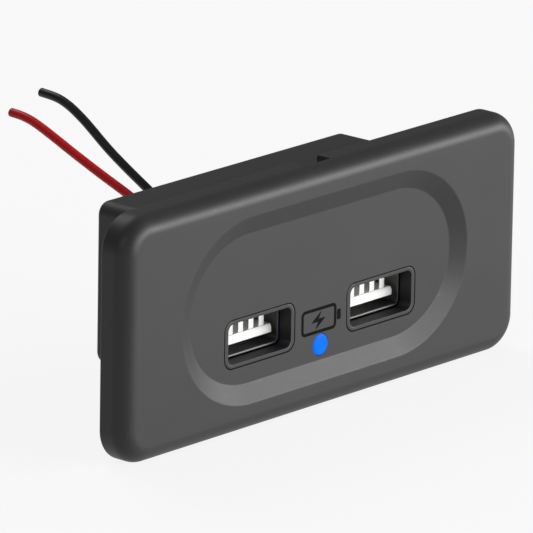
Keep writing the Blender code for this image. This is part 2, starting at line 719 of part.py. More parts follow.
def build_insulator(name, port, shared, material):
    """The moulded block at the back of a receptacle, its tongue and a slot for each contact."""
    if shared:
        return shared_copy(name, shared, port)
    block = bmesh.new()
    half_x = SHELL_OPENING_WIDTH / 2 - SEAT_GAP
    half_z = SHELL_OPENING_HEIGHT / 2 - SEAT_GAP
    add_block(block, (-half_x, BLOCK_FRONT, -half_z), (half_x, BLOCK_BACK, half_z))
    round_edges(block, edges_along_y(block), SHELL_BEND_RADIUS, 2)
    insulator = add_part(name, mesh_of("usb_insulator", block, 40), material, parent=port)

    tongue = bmesh.new()
    tip = SHELL_FRONT + TONGUE_SETBACK
    bottom = TONGUE_TOP - TONGUE_THICKNESS
    inside = BLOCK_FRONT + BLOCK_LENGTH / 8
    add_block(tongue, (-TONGUE_WIDTH / 2, tip, bottom), (TONGUE_WIDTH / 2, inside, TONGUE_TOP))
    top_front = [
        e for e in edges_round(tongue, tip) if all(abs(v.co.z - TONGUE_TOP) < 1e-7 for v in e.verts)
    ]
    round_edges(tongue, top_front, TONGUE_CHAMFER, 1)
    boolean(insulator, "tongue", mesh_of("tongue", tongue), "UNION")

    slots = bmesh.new()
    slot_width = CONTACT_WIDTH + 2 * SEAT_GAP
    slot_back = TAIL_Y + CONTACT_SHEET / 2 + CLEARANCE
    for x in contact_places():
        add_block(
            slots,
            (x - slot_width / 2, BLOCK_FRONT - CLEARANCE, TONGUE_TOP),
            (x + slot_width / 2, slot_back, SHELL_HEIGHT),
        )
    boolean(insulator, "contact_slots", mesh_of("contact_slots", slots))
    return insulator


def contact_curve():
    """The side view of a contact: nose, ramp down to the tongue, run through the block, tail up."""
    nose_y = SHELL_FRONT + CONTACT_NOSE_SETBACK + CONTACT_SHEET / 2
    run_z = TONGUE_TOP + SEAT_GAP + CONTACT_SHEET / 2
    nose_top = TONGUE_TOP + CONTACT_NOSE_HEIGHT
    crest_y = nose_y + 1.5 * CONTACT_SHEET
    path = rounded_path(
        [
            (nose_y, run_z),
            (nose_y, nose_top),
            (crest_y, nose_top + CONTACT_SHEET / 2),
            (crest_y + CONTACT_RAMP_LENGTH, run_z),
            (TAIL_Y, run_z),
            (TAIL_Y, BOARD_TOP - PORT_Z + TAIL_PROUD),
        ],
        CONTACT_BEND_RADIUS,
        steps=2,
    )
    curve = bpy.data.curves.new("usb_contact", "CURVE")
    curve.dimensions = "2D"
    curve.fill_mode = "BOTH"
    curve.extrude = CONTACT_WIDTH / 2
    edge = strip_outline(path, CONTACT_SHEET)
    spline = curve.splines.new("POLY")
    spline.points.add(len(edge) - 1)
    for point, (y, z) in zip(spline.points, edge):
        point.co = (y, z, 0, 1)
    spline.use_cyclic_u = True
    return curve


def build_ports(plastic, steel, white, contact_metal):
    """Both ports: the same pieces under an empty at each port's middle."""
    collar = build_collar_mesh()
    contact = contact_curve()
    shell = insulator = None
    for side, x in port_places():
        port = new_empty(f"port_{side}", (x, 0, PORT_Z), root)
        add_part(f"port_collar_{side}", collar, plastic, parent=port)
        shell = build_shell(f"usb_shell_{side}", port, shell, steel)
        insulator = build_insulator(f"usb_insulator_{side}", port, insulator, white)
        for number, offset in enumerate(contact_places(), start=1):
            piece = add_part(f"usb_contact_{side}_{number}", contact, contact_metal, (offset, 0, 0), port)
            # The curve's own X and Y become the part's Y and Z
            piece.rotation_euler = (math.pi / 2, 0, math.pi / 2)


def build_light(lens, chip_material):
    """The light pipe: a round face in the panel, a bar behind it and a mirror face at the bend."""
    bar_front = FLOOR_BACK + CLEARANCE
    bar_back = bar_front + LIGHT_BAR_THICKNESS
    chip_bottom = BOARD_BOTTOM - SEAT_GAP - LIGHT_CHIP_HEIGHT
    radius = LIGHT_DIAMETER / 2
    bar = bmesh.new()
    add_block(bar, (-radius, bar_front, LIGHT_Z - radius), (radius, bar_back, chip_bottom - SEAT_GAP))
    low_back = [
        e for e in edges_round(bar, bar_back)
        if all(abs(v.co.z - (LIGHT_Z - radius)) < 1e-7 for v in e.verts)
    ]
    round_edges(bar, low_back, LIGHT_BAR_THICKNESS * 0.85, 1)
    pipe = add_part("light_pipe", mesh_of("light_pipe", bar), lens)

    head = bmesh.new()
    front = RECESS_FLOOR - LIGHT_PROUD
    add_rod(head, 0, LIGHT_Z, LIGHT_DIAMETER, front, bar_front + LIGHT_BAR_THICKNESS / 3)
    round_edges(head, edges_round(head, front), LIGHT_PROUD, 2)
    boolean(pipe, "lens_head", mesh_of("lens_head", head), "UNION")

    chip_back = BOARD_FRONT + LIGHT_CHIP_LENGTH
    chip = bmesh.new()
    add_block(
        chip,
        (-LIGHT_CHIP_WIDTH / 2, BOARD_FRONT, chip_bottom),
        (LIGHT_CHIP_WIDTH / 2, chip_back, chip_bottom + LIGHT_CHIP_HEIGHT),
    )
    add_part("light_chip", mesh_of("light_chip", chip), chip_material)


def build_board(material):
    """The circuit board over the receptacles, with a hole for each leg and contact tail."""
    board = bmesh.new()
    half_x = BOARD_WIDTH / 2
    add_block(board, (-half_x, BOARD_FRONT, BOARD_BOTTOM), (half_x, BOARD_BACK, BOARD_TOP))
    piece = add_part("circuit_board", mesh_of("circuit_board", board), material)

    holes = bmesh.new()
    levels = (BOARD_BOTTOM - BOARD_THICKNESS, BOARD_TOP + BOARD_THICKNESS)
    leg_half = SHELL_SHEET / 2 + HOLE_MARGIN
    half_x = CONTACT_WIDTH / 2 + HOLE_MARGIN
    half_y = CONTACT_SHEET / 2 + HOLE_MARGIN
    for _, port_x in port_places():
        for x in (port_x - LEG_X, port_x + LEG_X):
            add_block(
                holes,
                (x - leg_half, LEG_FRONT - HOLE_MARGIN, levels[0]),
                (x + leg_half, LEG_FRONT + LEG_LENGTH_Y + HOLE_MARGIN, levels[1]),
            )
        for offset in contact_places():
            x = port_x + offset
            low = (x - half_x, TAIL_Y - half_y, levels[0])
            add_block(holes, low, (x + half_x, TAIL_Y + half_y, levels[1]))
    boolean(piece, "holes", mesh_of("board_holes", holes))


def add_capacitor(name, x, y, diameter, height, material):
    radius = diameter / 2
    roll = diameter * 0.05
    groove = diameter * 0.16
    profile = [
        (0, height), (radius - roll, height), (radius, height - roll), (radius, 2.4 * groove),
        (radius - roll, 2 * groove), (radius, 1.6 * groove), (radius, 0), (0, 0),
    ]
    turned(name, profile, material, (x, y, PART_SEAT))


def add_packaged_chip(name, x, y, size, leads, material):
    """A moulded package with bent leads down both long sides."""
    length, width, height = size
    body = bmesh.new()
    stand = height * 0.1
    add_block(body, (-length / 2, -width / 2, stand), (length / 2, width / 2, stand + height))
    round_edges(body, edges_round_top(body, stand + height), height * 0.18, 1)
    chip = add_part(name, mesh_of(name, body), material, (x, y, PART_SEAT))
    legs = bmesh.new()
    pitch = length / leads
    lead = pitch * 0.35
    sheet = height * 0.14
    middle = stand + height / 2
    reach = width * LEAD_REACH
    for i in range(leads):
        lead_x = (i - (leads - 1) / 2) * pitch
        for side in (-1, 1):
            root_y = side * (width / 2 - sheet)
            knee_y = side * (width / 2 + reach / 2)
            foot_y = side * (width / 2 + reach)
            section = [
                (root_y, middle + sheet), (knee_y, middle + sheet), (knee_y, sheet), (foot_y, sheet),
                (foot_y, 0), (knee_y - side * sheet, 0), (knee_y - side * sheet, middle), (root_y, middle),
            ]
            sides = (lead_x - lead / 2, lead_x + lead / 2)
            add_prism(legs, *([(end, py, pz) for py, pz in section] for end in sides))
    boolean(chip, "leads", mesh_of(f"{name}_leads", legs), "UNION")


def edges_round_top(shape, z):
    return [e for e in shape.edges if all(abs(v.co.z - z) < 1e-7 for v in e.verts)]


def add_end_capped_part(name, x, y, size, material):
    """A two-ended surface part: a rectangular body with its bent end terminals."""
    length, width, height = size
    body = bmesh.new()
    add_block(body, (-length / 2, -width / 2, height * 0.1), (length / 2, width / 2, height))
    round_edges(body, edges_round_top(body, height), height * 0.15, 1)
    part = add_part(name, mesh_of(name, body), material, (x, y, PART_SEAT))
    ends = bmesh.new()
    grip = length * TERMINAL_GRIP
    for side in (-1, 1):
        near = side * (length / 2 - grip)
        far = side * (length / 2 + grip)
        add_block(
            ends, (min(near, far), -width * 0.35, 0), (max(near, far), width * 0.35, height * 0.6)
        )
    boolean(part, "terminals", mesh_of(f"{name}_terminals", ends), "UNION")


def build_converter(ferrite, copper, can, chip_plastic):
    """The step-down converter on top of the board, laid out round the legs and tails of the ports."""
    leg_y = LEG_FRONT + LEG_LENGTH_Y / 2
    radius, waist = INDUCTOR_DIAMETER / 2, INDUCTOR_WAIST / 2
    cheek_top = INDUCTOR_HEIGHT - INDUCTOR_CHEEK
    profile = [
        (0, INDUCTOR_HEIGHT), (radius, INDUCTOR_HEIGHT), (radius, cheek_top), (waist, cheek_top),
        (waist, INDUCTOR_CHEEK), (radius, INDUCTOR_CHEEK), (radius, 0), (0, 0),
    ]
    middle = (0, leg_y, PART_SEAT)
    turned("inductor_core", profile, ferrite, middle)
    inner, outer = waist + SEAT_GAP, radius - 2 * SEAT_GAP
    top, bottom = cheek_top - SEAT_GAP, INDUCTOR_CHEEK + SEAT_GAP
    ring = [(outer, top), (outer, bottom), (inner, bottom), (inner, top)]
    turned("inductor_winding", ring, copper, middle, closed=True)

    # The tall capacitor stands between the tails of the right port and the front of the board
    left_x, right_x = (x for _, x in port_places())
    tall_y = TAIL_Y - PART_ROOM - INPUT_CAPACITOR_DIAMETER / 2
    add_capacitor(
        "input_capacitor", right_x, tall_y, INPUT_CAPACITOR_DIAMETER, INPUT_CAPACITOR_HEIGHT, can
    )
    reach = (LEG_LENGTH_Y + OUTPUT_CAPACITOR_DIAMETER) / 2 + PART_ROOM - SEAT_GAP
    for side, y in (("left", leg_y - reach), ("right", leg_y + reach)):
        add_capacitor(
            f"output_capacitor_{side}", left_x + LEG_X, y, OUTPUT_CAPACITOR_DIAMETER,
            OUTPUT_CAPACITOR_HEIGHT, can,
        )

    chip_reach = CONVERTER_WIDTH * (0.5 + LEAD_REACH)
    chip_y = WIRE_PAD_Y - WIRE_DIAMETER / 2 - PART_ROOM - chip_reach
    converter = (CONVERTER_LENGTH, CONVERTER_WIDTH, CONVERTER_HEIGHT)
    add_packaged_chip("converter_chip", left_x, chip_y, converter, 4, chip_plastic)
    controller = (CONTROLLER_LENGTH, CONTROLLER_WIDTH, CONTROLLER_HEIGHT)
    controller_y = LEG_FRONT - PART_ROOM - CONTROLLER_WIDTH * (0.5 + LEAD_REACH) - PART_ROOM
    outer_x = right_x + LEG_X
    add_packaged_chip("port_controller_left", -outer_x, controller_y, controller, 3, chip_plastic)
    add_packaged_chip("port_controller_right", outer_x, controller_y, controller, 3, chip_plastic)
    # Outboard of the tails, in line with them
    beside_x = right_x + TAIL_HALF_WIDTH + CLEARANCE
    diode = (DIODE_LENGTH, DIODE_WIDTH, DIODE_HEIGHT)
    diode_x = beside_x + DIODE_LENGTH * (0.5 + TERMINAL_GRIP)
    add_end_capped_part("rectifier_diode", diode_x, TAIL_Y, diode, chip_plastic)
    fuse = (FUSE_LENGTH, FUSE_WIDTH, FUSE_HEIGHT)
    fuse_x = beside_x + FUSE_LENGTH * (0.5 + TERMINAL_GRIP)
    add_end_capped_part("input_fuse", -fuse_x, TAIL_Y, fuse, chip_plastic)


def grommet_outline(grow):
    radius = GROMMET_HEIGHT / 2 + grow
    return outline(
        GROMMET_WIDTH + 2 * grow, GROMMET_HEIGHT + 2 * grow, radius, radius, WIRE_PAIR_X, WIRE_Z
    )


def build_grommet(rubber):
    """The rubber grommet in the rear wall: a neck with a lip on each side and a hole for each wire."""
    body = bmesh.new()
    inner_lip = HOUSING_REAR_INSIDE - SEAT_GAP
    outer_lip = HOUSING_DEPTH + SEAT_GAP
    ease = GROMMET_LIP_THICKNESS / 3
    loft(
        body,
        [
            (inner_lip - GROMMET_LIP_THICKNESS, grommet_outline(GROMMET_LIP - ease)),
            (inner_lip - GROMMET_LIP_THICKNESS + ease, grommet_outline(GROMMET_LIP)),
            (inner_lip, grommet_outline(GROMMET_LIP)),
            (inner_lip, grommet_outline(0)),
            (outer_lip, grommet_outline(0)),
            (outer_lip, grommet_outline(GROMMET_LIP)),
            (outer_lip + GROMMET_LIP_THICKNESS - ease, grommet_outline(GROMMET_LIP)),
            (outer_lip + GROMMET_LIP_THICKNESS, grommet_outline(GROMMET_LIP - ease)),
        ],
    )
    grommet = add_part("wire_grommet", mesh_of("wire_grommet", body, 40), rubber)
    holes = bmesh.new()
    for side in (-1, 1):
        add_rod(
            holes, WIRE_PAIR_X + side * WIRE_SPACING / 2, WIRE_Z, WIRE_HOLE_DIAMETER,
            HOUSING_REAR_INSIDE - 2 * HOUSING_WALL, HOUSING_DEPTH + 2 * HOUSING_WALL, 16,
        )
    boolean(grommet, "wire_holes", mesh_of("wire_holes", holes))


def add_wire(name, free_route, x, material):
    """A wire from its pad on the board, through the grommet, to its free end."""
    # The stretch inside the housing follows the sizes, and the free route keeps its chosen points
    inside = [
        (x, WIRE_PAD_Y, PART_SEAT),
        (x, WIRE_PAD_Y, (PART_SEAT + WIRE_Z) / 2 - WIRE_DIAMETER),
        (x, WIRE_PAD_Y + WIRE_DIAMETER, WIRE_Z - 1.2 * WIRE_DIAMETER),
        (x, HOUSING_REAR_INSIDE - GROMMET_LIP_THICKNESS, WIRE_Z),
        (x, HOUSING_DEPTH, WIRE_Z),
        (x, HOUSING_DEPTH + 2 * GROMMET_LIP_THICKNESS, WIRE_Z),
    ]
    route = smooth_route(inside + free_route, WIRE_POINT_SPACING)
    curve = bpy.data.curves.new(name, "CURVE")
    curve.dimensions = "3D"
    curve.bevel_depth = WIRE_DIAMETER / 2
    curve.bevel_resolution = 2
    curve.use_fill_caps = True
    spline = curve.splines.new("POLY")
    spline.points.add(len(route) - 1)
    for point, place in zip(spline.points, route):
        point.co = (*place, 1)
    add_part(name, curve, material)


def build_wires(red, black):
    red_route = [
        (-13.6 * MM, 19.8 * MM, 10.8 * MM),
        (-13.7 * MM, 24.8 * MM, 12.7 * MM),
        (-13.8 * MM, 29.6 * MM, 14.6 * MM),
        (-13.9 * MM, 37.7 * MM, 17.8 * MM),
        (-14.0 * MM, 42.0 * MM, 18.4 * MM),
    ]
    black_route = [
        (-9.8 * MM, 19.8 * MM, 10.9 * MM),
        (-9.8 * MM, 26.6 * MM, 14.7 * MM),
        (-9.8 * MM, 32.4 * MM, 18.6 * MM),
        (-9.8 * MM, 36.3 * MM, 20.4 * MM),
        (-9.8 * MM, 40.3 * MM, 20.8 * MM),
    ]
    add_wire("red_wire", red_route, WIRE_PAIR_X - WIRE_SPACING / 2, red)
    add_wire("black_wire", black_route, WIRE_PAIR_X + WIRE_SPACING / 2, black)


def build_screws(steel):
    """Two pan-head screws, each down a boss of the housing into a post of the panel."""
    head = SCREW_HEAD_DIAMETER / 2
    shank = SCREW_SHANK_DIAMETER / 2
    point = shank * 0.8
    profile = [
        (0, SCREW_HEAD_HEIGHT), (head * 0.6, SCREW_HEAD_HEIGHT * 0.93), (head * 0.9, SCREW_HEAD_HEIGHT * 0.6),
        (head, SCREW_HEAD_HEIGHT * 0.2), (head, 0), (shank, 0), (shank, point - SCREW_LENGTH),
        (shank * 0.4, -SCREW_LENGTH), (0, -SCREW_LENGTH),
    ]
    for side, sign in (("left", -1), ("right", 1)):
        place = (sign * SCREW_X, SCREW_SEAT_Y + SEAT_GAP, SCREW_Z)
        screw = turned(f"housing_screw_{side}", profile, steel, place, sides=16)
        # The head faces the back of the housing
        screw.rotation_euler = (-math.pi / 2, 0, 0)


clear_scene()
parts = new_collection(PARTS_NAME)
cutters = new_collection("cutters", hidden=True)
root = new_empty(f"{PARTS_NAME}_root", (0, 0, 0))

panel_black = new_material("panel_black_plastic", (0.095, 0.095, 0.097), 0.48)
housing_black = new_material("housing_black_plastic", (0.075, 0.075, 0.078), 0.55)
shell_steel = new_material("receptacle_steel", (0.42, 0.42, 0.43), 0.32, 1.0)
tongue_white = new_material("tongue_white_plastic", (0.86, 0.86, 0.84), 0.45)
contact_silver = new_material("contact_plating", (0.80, 0.79, 0.76), 0.28, 1.0)
light_blue = new_material("light_pipe_blue", (0.0, 0.19, 1.0), 0.30)
light_yellow = new_material("light_chip_resin", (0.85, 0.70, 0.20), 0.40)
board_green = new_material("board_green", (0.02, 0.15, 0.06), 0.40)
ferrite_grey = new_material("ferrite", (0.07, 0.07, 0.08), 0.60)
copper = new_material("winding_copper", (0.72, 0.33, 0.15), 0.35, 1.0)
can_aluminium = new_material("capacitor_can", (0.62, 0.63, 0.65), 0.35, 1.0)
package_black = new_material("package_resin", (0.03, 0.03, 0.03), 0.55)
grommet_rubber = new_material("grommet_rubber", (0.03, 0.03, 0.03), 0.75)
wire_red = new_material("wire_red", (0.55, 0.01, 0.015), 0.40)
wire_black = new_material("wire_black", (0.02, 0.02, 0.02), 0.40)
screw_steel = new_material("screw_steel", (0.45, 0.45, 0.46), 0.35, 1.0)

build_front_panel(panel_black)
build_rear_housing(housing_black)
build_ports(panel_black, shell_steel, tongue_white, contact_silver)
build_light(light_blue, light_yellow)
build_board(board_green)
build_converter(ferrite_grey, copper, can_aluminium, package_black)
build_grommet(grommet_rubber)
build_wires(wire_red, wire_black)
build_screws(screw_steel)
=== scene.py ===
"""Flush-mount car charging panel with a pair of receptacles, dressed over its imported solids."""
import math

import bmesh
import bpy
import numpy as np
from mathutils import Matrix, Vector


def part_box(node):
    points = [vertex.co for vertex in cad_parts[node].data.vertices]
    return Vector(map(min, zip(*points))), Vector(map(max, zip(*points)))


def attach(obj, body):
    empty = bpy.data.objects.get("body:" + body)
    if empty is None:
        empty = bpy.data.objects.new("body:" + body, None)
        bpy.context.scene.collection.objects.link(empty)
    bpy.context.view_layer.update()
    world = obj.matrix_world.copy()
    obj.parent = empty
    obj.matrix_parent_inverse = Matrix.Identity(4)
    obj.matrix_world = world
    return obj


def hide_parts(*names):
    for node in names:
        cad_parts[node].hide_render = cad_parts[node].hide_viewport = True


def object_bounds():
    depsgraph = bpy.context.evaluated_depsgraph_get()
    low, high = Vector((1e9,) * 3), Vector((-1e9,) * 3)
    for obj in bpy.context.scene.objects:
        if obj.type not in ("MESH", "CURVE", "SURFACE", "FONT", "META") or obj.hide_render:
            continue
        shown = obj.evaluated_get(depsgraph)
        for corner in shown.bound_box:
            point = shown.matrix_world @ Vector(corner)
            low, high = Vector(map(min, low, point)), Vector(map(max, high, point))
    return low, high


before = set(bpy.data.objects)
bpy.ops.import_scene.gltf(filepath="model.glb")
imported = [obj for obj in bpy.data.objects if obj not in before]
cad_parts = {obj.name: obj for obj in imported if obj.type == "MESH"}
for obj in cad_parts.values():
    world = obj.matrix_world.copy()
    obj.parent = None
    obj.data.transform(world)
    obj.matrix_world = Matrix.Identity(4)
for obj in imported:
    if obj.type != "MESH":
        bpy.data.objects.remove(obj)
cad_box = [list(corner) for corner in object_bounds()]
# Sizes and places are written in millimetres, and this carries them to metres
MM = 0.001

# Camera
# The picture is taken from in front of the panel, from its left and a little above. The
# view's axes, range and scale were fitted to the panel's corners and to the port windows.
VIEW_RIGHT = Vector((0.66810664, -0.74389568, 0.01589764))
VIEW_UP = Vector((0.20282228, 0.20263215, 0.95802053))
VIEW_BACK = VIEW_RIGHT.cross(VIEW_UP)
AIM = Vector((0.0, -4.72, -0.1)) * MM
AIM_RIGHT, AIM_UP = -8.36 * MM, 2.94 * MM
VIEW_DISTANCE = 1190.6 * MM
PIXELS_PER_MM = 7.3034
FRAME_PIXELS = 533
SENSOR = 36.0
CLIP_NEAR, CLIP_FAR = 0.01, 20.0

camera_data = bpy.data.cameras.new("photo_camera")
camera_data.sensor_width = SENSOR
camera_data.lens = PIXELS_PER_MM * (VIEW_DISTANCE / MM) * SENSOR / FRAME_PIXELS
camera_data.clip_start, camera_data.clip_end = CLIP_NEAR, CLIP_FAR
camera = bpy.data.objects.new("photo_camera", camera_data)
bpy.context.scene.collection.objects.link(camera)
turn = Matrix((VIEW_RIGHT, VIEW_UP, VIEW_BACK)).transposed()
stand = AIM + VIEW_RIGHT * AIM_RIGHT + VIEW_UP * AIM_UP + VIEW_BACK * VIEW_DISTANCE
camera.matrix_world = Matrix.Translation(stand) @ turn.to_4x4()
bpy.context.scene.camera = camera
bpy.context.scene.view_settings.view_transform = "Standard"


# Supply wires
# Two insulated copper leads, red for the supply and black for the return. They rise from the
# board, pass the grommet in the rear wall and end cut square, ready to be joined.
class Signal:
    """A shader socket that is written into sums: each operator adds one Math node."""

    def __init__(self, finish, socket):
        self.finish = finish
        self.socket = socket

    def math(self, operation, *values):
        """One Math node of this operation, fed with the values in their order."""
        return self.finish.node("ShaderNodeMath", {"operation": operation}, dict(enumerate(values)))

    def beside(self, name):
        """Another output of the node that this one comes from."""
        return Signal(self.finish, self.socket.node.outputs[name])

    def __add__(self, other):
        return self.math("ADD", self, other)

    def __radd__(self, other):
        return self.math("ADD", other, self)

    def __sub__(self, other):
        return self.math("SUBTRACT", self, other)

    def __rsub__(self, other):
        return self.math("SUBTRACT", other, self)

    def __mul__(self, other):
        return self.math("MULTIPLY", self, other)

    def __rmul__(self, other):
        return self.math("MULTIPLY", other, self)

    def __gt__(self, other):
        return self.math("GREATER_THAN", self, other)

    def __lt__(self, other):
        return self.math("LESS_THAN", self, other)

    def __abs__(self):
        return self.math("ABSOLUTE", self)


class Finish:
    """One material: a Principled surface and the nodes that vary it."""

    def __init__(self, name, color, roughness, **plain):
        self.material = bpy.data.materials.new(name)
        self.material.use_nodes = True
        self.tree = self.material.node_tree
        self.tree.nodes.clear()
        output = self.tree.nodes.new("ShaderNodeOutputMaterial")
        self.surface = self.tree.nodes.new("ShaderNodeBsdfPrincipled")
        self.tree.links.new(self.surface.outputs[0], output.inputs["Surface"])
        self.material.diffuse_color = (*color, 1.0)
        self.set(base_color=color, roughness=roughness, **plain)
        self.place = self.node("ShaderNodeTexCoord", output="Object")

    def feed(self, node, name, value):
        """Links a signal to a node's socket, or sets the socket to a colour, vector or number."""
        socket = node.inputs[name]
        if isinstance(value, Signal):
            self.tree.links.new(value.socket, socket)
        elif socket.type == "RGBA":
            socket.default_value = (*value, 1.0)
        else:
            socket.default_value = value

    def node(self, kind, settings=None, values=None, output=0):
        """Adds a node, makes its settings first and then fills its sockets, by name or number."""
        node = self.tree.nodes.new(kind)
        for name, value in (settings or {}).items():
            setattr(node, name, value)
        for name, value in (values or {}).items():
            self.feed(node, name, value)
        return Signal(self, node.outputs[output])

    def set(self, **values):
        """Feeds the surface's own sockets: base_color goes to Base Color, and so on."""
        for name, value in values.items():
            socket = name.replace("_", " ").title().replace("Ior", "IOR")
            self.feed(self.surface, socket, value)

    def noise(self, size, detail=2.0, stretch=(1.0, 1.0, 1.0)):
        """Smooth noise whose lumps are about this size in millimetres, drawn out along each axis."""
        scale = tuple(1 / share for share in stretch)
        place = self.node("ShaderNodeMapping", {}, {"Vector": self.place, "Scale": scale})
        return self.node(
            "ShaderNodeTexNoise", {}, {"Vector": place, "Scale": 1 / (size * MM), "Detail": detail})

    def blend(self, mask, first, second):
        """One colour where the mask is 0 and another where it is 1."""
        return self.node("ShaderNodeMix", {"data_type": "RGBA"}, {0: mask, 6: first, 7: second}, output=2)

    def spread(self, value, low, high, to_low, to_high):
        """Carries a value's range over to another range, held at both ends."""
        return self.node(
            "ShaderNodeMapRange", {"clamp": True},
            {"Value": value, "From Min": low, "From Max": high, "To Min": to_low, "To Max": to_high},
        )

    def bump(self, height, depth):
        """Relief of this depth in millimetres."""
        return self.node("ShaderNodeBump", {}, {"Height": height, "Strength": 1.0, "Distance": depth * MM})


def wire_route(points, spacing):
    """Points at even steps on the smooth curve through the given ones.

    Between two points the curve is the cubic whose slope at each is half the step from its
    last neighbour to its next one; the whole curve is then divided into equal lengths.
    """
    route = np.array([points[0], *points, points[-1]], float)
    t = np.linspace(0, 1, 24, endpoint=False)[:, None]
    curve = [0.5 * (2 * b + (c - a) * t + (2 * a - 5 * b + 4 * c - d) * t**2
                    + (3 * b - a - 3 * c + d) * t**3)
             for a, b, c, d in zip(route, route[1:], route[2:], route[3:])]
    curve = np.concatenate([*curve, route[-1:]])
    reached = np.concatenate([[0], np.cumsum(np.linalg.norm(np.diff(curve, axis=0), axis=1))])
    places = np.linspace(0, reached[-1], round(reached[-1] / spacing) + 1)
    return np.stack([np.interp(places, reached, curve[:, axis]) for axis in range(3)], axis=1)


def skin(rings, ends="filled"):
    """A closed skin over rings of points: neighbours are joined by quads, ring to ring.

    The first and last ring are filled, or joined to each other where the skin is a tube
    with a wall.
    """
    rings = np.asarray(rings, float)
    count, sides = rings.shape[:2]
    rows = count if ends == "joined" else count - 1
    ring, side = np.divmod(np.arange(rows * sides), sides)
    following = (ring + 1) % count * sides
    beside = (side + 1) % sides
    faces = np.stack([
        ring * sides + side, ring * sides + beside, following + beside, following + side,
    ], axis=1).tolist()
    if ends == "filled":
        faces += [list(range(sides)), list(range((count - 1) * sides, count * sides))]
    return rings.reshape(-1, 3), faces


def gather(*shapes):
    """Several shapes as one: each one's faces count on from the points before it."""
    points, faces, start = [], [], 0
    for some_points, some_faces in shapes:
        points.append(some_points)
        faces += [[corner + start for corner in face] for face in some_faces]
        start += len(some_points)
    return np.concatenate(points), faces


def add_object(name, shape):
    """An object from points in millimetres and faces, with its doubles merged, faced outwards."""
    points, faces = shape
    mesh = bpy.data.meshes.new(name)
    mesh.from_pydata((points * MM).tolist(), [], faces)
    whole = bmesh.new()
    whole.from_mesh(mesh)
    bmesh.ops.remove_doubles(whole, verts=whole.verts, dist=1e-7)
    bmesh.ops.recalc_face_normals(whole, faces=whole.faces)
    whole.to_mesh(mesh)
    whole.free()
    made = bpy.data.objects.new(name, mesh)
    bpy.context.scene.collection.objects.link(made)
    return made


def add_piece(name, shape, finish, replaces=(), carved=(), smooth_angle=35.0, bevel=0.0):
    """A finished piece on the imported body, from a shape in millimetres and what is cut or joined.

    carved lists an operation, DIFFERENCE or UNION, with its shape; each is worked into the
    mesh. bevel breaks the piece's sharp edges by that many millimetres.
    """
    piece = add_object(name, shape)
    for operation, other in carved:
        tool = add_object(f"{name}_tool", other)
        work = piece.modifiers.new("work", "BOOLEAN")
        work.operation = operation
        work.solver = "EXACT"
        work.object = tool
        seen_now = bpy.context.evaluated_depsgraph_get()
        worked = bpy.data.meshes.new_from_object(piece.evaluated_get(seen_now))
        piece.modifiers.clear()
        piece.data = worked
        bpy.data.objects.remove(tool, do_unlink=True)
    piece.data.name = name
    piece.data.materials.clear()
    piece.data.materials.append(finish.material)
    piece.data.shade_smooth()
    piece.data.set_sharp_from_angle(angle=math.radians(smooth_angle))
    if bevel:
        edge = piece.modifiers.new("broken_edges", "BEVEL")
        edge.width = bevel * MM
        edge.segments = 2
        edge.limit_method = "ANGLE"
        edge.angle_limit = math.radians(40)
    even = piece.modifiers.new("even_shading", "WEIGHTED_NORMAL")
    even.keep_sharp = not bevel
    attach(piece, "root")
    if replaces:
        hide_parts(*replaces)
    return piece


def tube_along(path, radius, sides=28, end_round=0.12):
    """A round, solid wire: a circle of the radius square to the path at each of its points.

    Each ring's first axis is the last ring's, less its part along the new direction, so the
    rings don't twist. The last ring but one stands short of the end by end_round, and the
    last is smaller by as much, which breaks the edge.
    """
    path = np.asarray(path, float)
    along = np.gradient(path, axis=0)
    along /= np.linalg.norm(along, axis=1)[:, None]
    path = np.concatenate([path[:-1], [path[-1] - along[-1] * end_round], path[-1:]])
    along = np.concatenate([along, along[-1:]])
    radii = np.full(len(path), radius)
    radii[-1] -= end_round
    angle = np.linspace(0, 2 * np.pi, sides, endpoint=False)[:, None]
    axis = np.cross(along[0], (0.0, 1.0, 0.0))
    rings = []
    for point, direction, reach in zip(path, along, radii):
        axis = axis - direction * axis.dot(direction)
        axis /= np.linalg.norm(axis)
        rings.append(point + reach * (np.cos(angle) * axis + np.sin(angle) * np.cross(direction, axis)))
    return skin(rings)


def insulation(name, color):
    """Extruded insulation: slight sheen, a faintly uneven surface, small rubbed patches."""
    made = Finish(name, color, 0.34, specular_ior_level=0.28)
    cloud = made.noise(2.4, 3)
    scuff = made.spread(made.noise(0.5, 4), 0.56, 0.7, 0.0, 1.0)
    pale = tuple(min(1.0, c * 1.3 + 0.006) for c in color)
    tone = made.blend(made.spread(cloud, 0.3, 0.7, 0.0, 0.6), color, tuple(c * 0.8 for c in color))
    made.set(
        base_color=made.blend(scuff * 0.35, tone, pale),
        roughness=0.3 + cloud * 0.12 + scuff * 0.1,
        normal=made.bump(made.noise(0.16, 3) + cloud * 2.0, 0.006),
    )
    return made


WIRE_DIAMETER, ROUTE_STEP = 1.26, 0.4
# The way (y, z) from a pad on the board through the grommet, which is the same for both wires
PAD_TO_GROMMET = [(8.0, 0.25), (8.0, 3.465), (9.26, 7.688), (13.1, 9.2), (15.0, 9.2), (16.4, 9.2)]
# Each wire's colour, the x of its pad and the rest of its way
WIRES = {
    "red": ((0.58, 0.003, 0.007), -13.6,
            [(-13.6, 19.8, 10.8), (-13.7, 24.8, 12.7), (-13.8, 29.6, 14.6), (-13.9, 37.7, 17.8),
             (-14.0, 42.0, 18.4)]),
    "black": ((0.010, 0.010, 0.011), -9.8,
              [(-9.8, 19.8, 10.9), (-9.8, 26.6, 14.7), (-9.8, 32.4, 18.6), (-9.8, 36.3, 20.4),
               (-9.8, 40.3, 20.8)]),
}
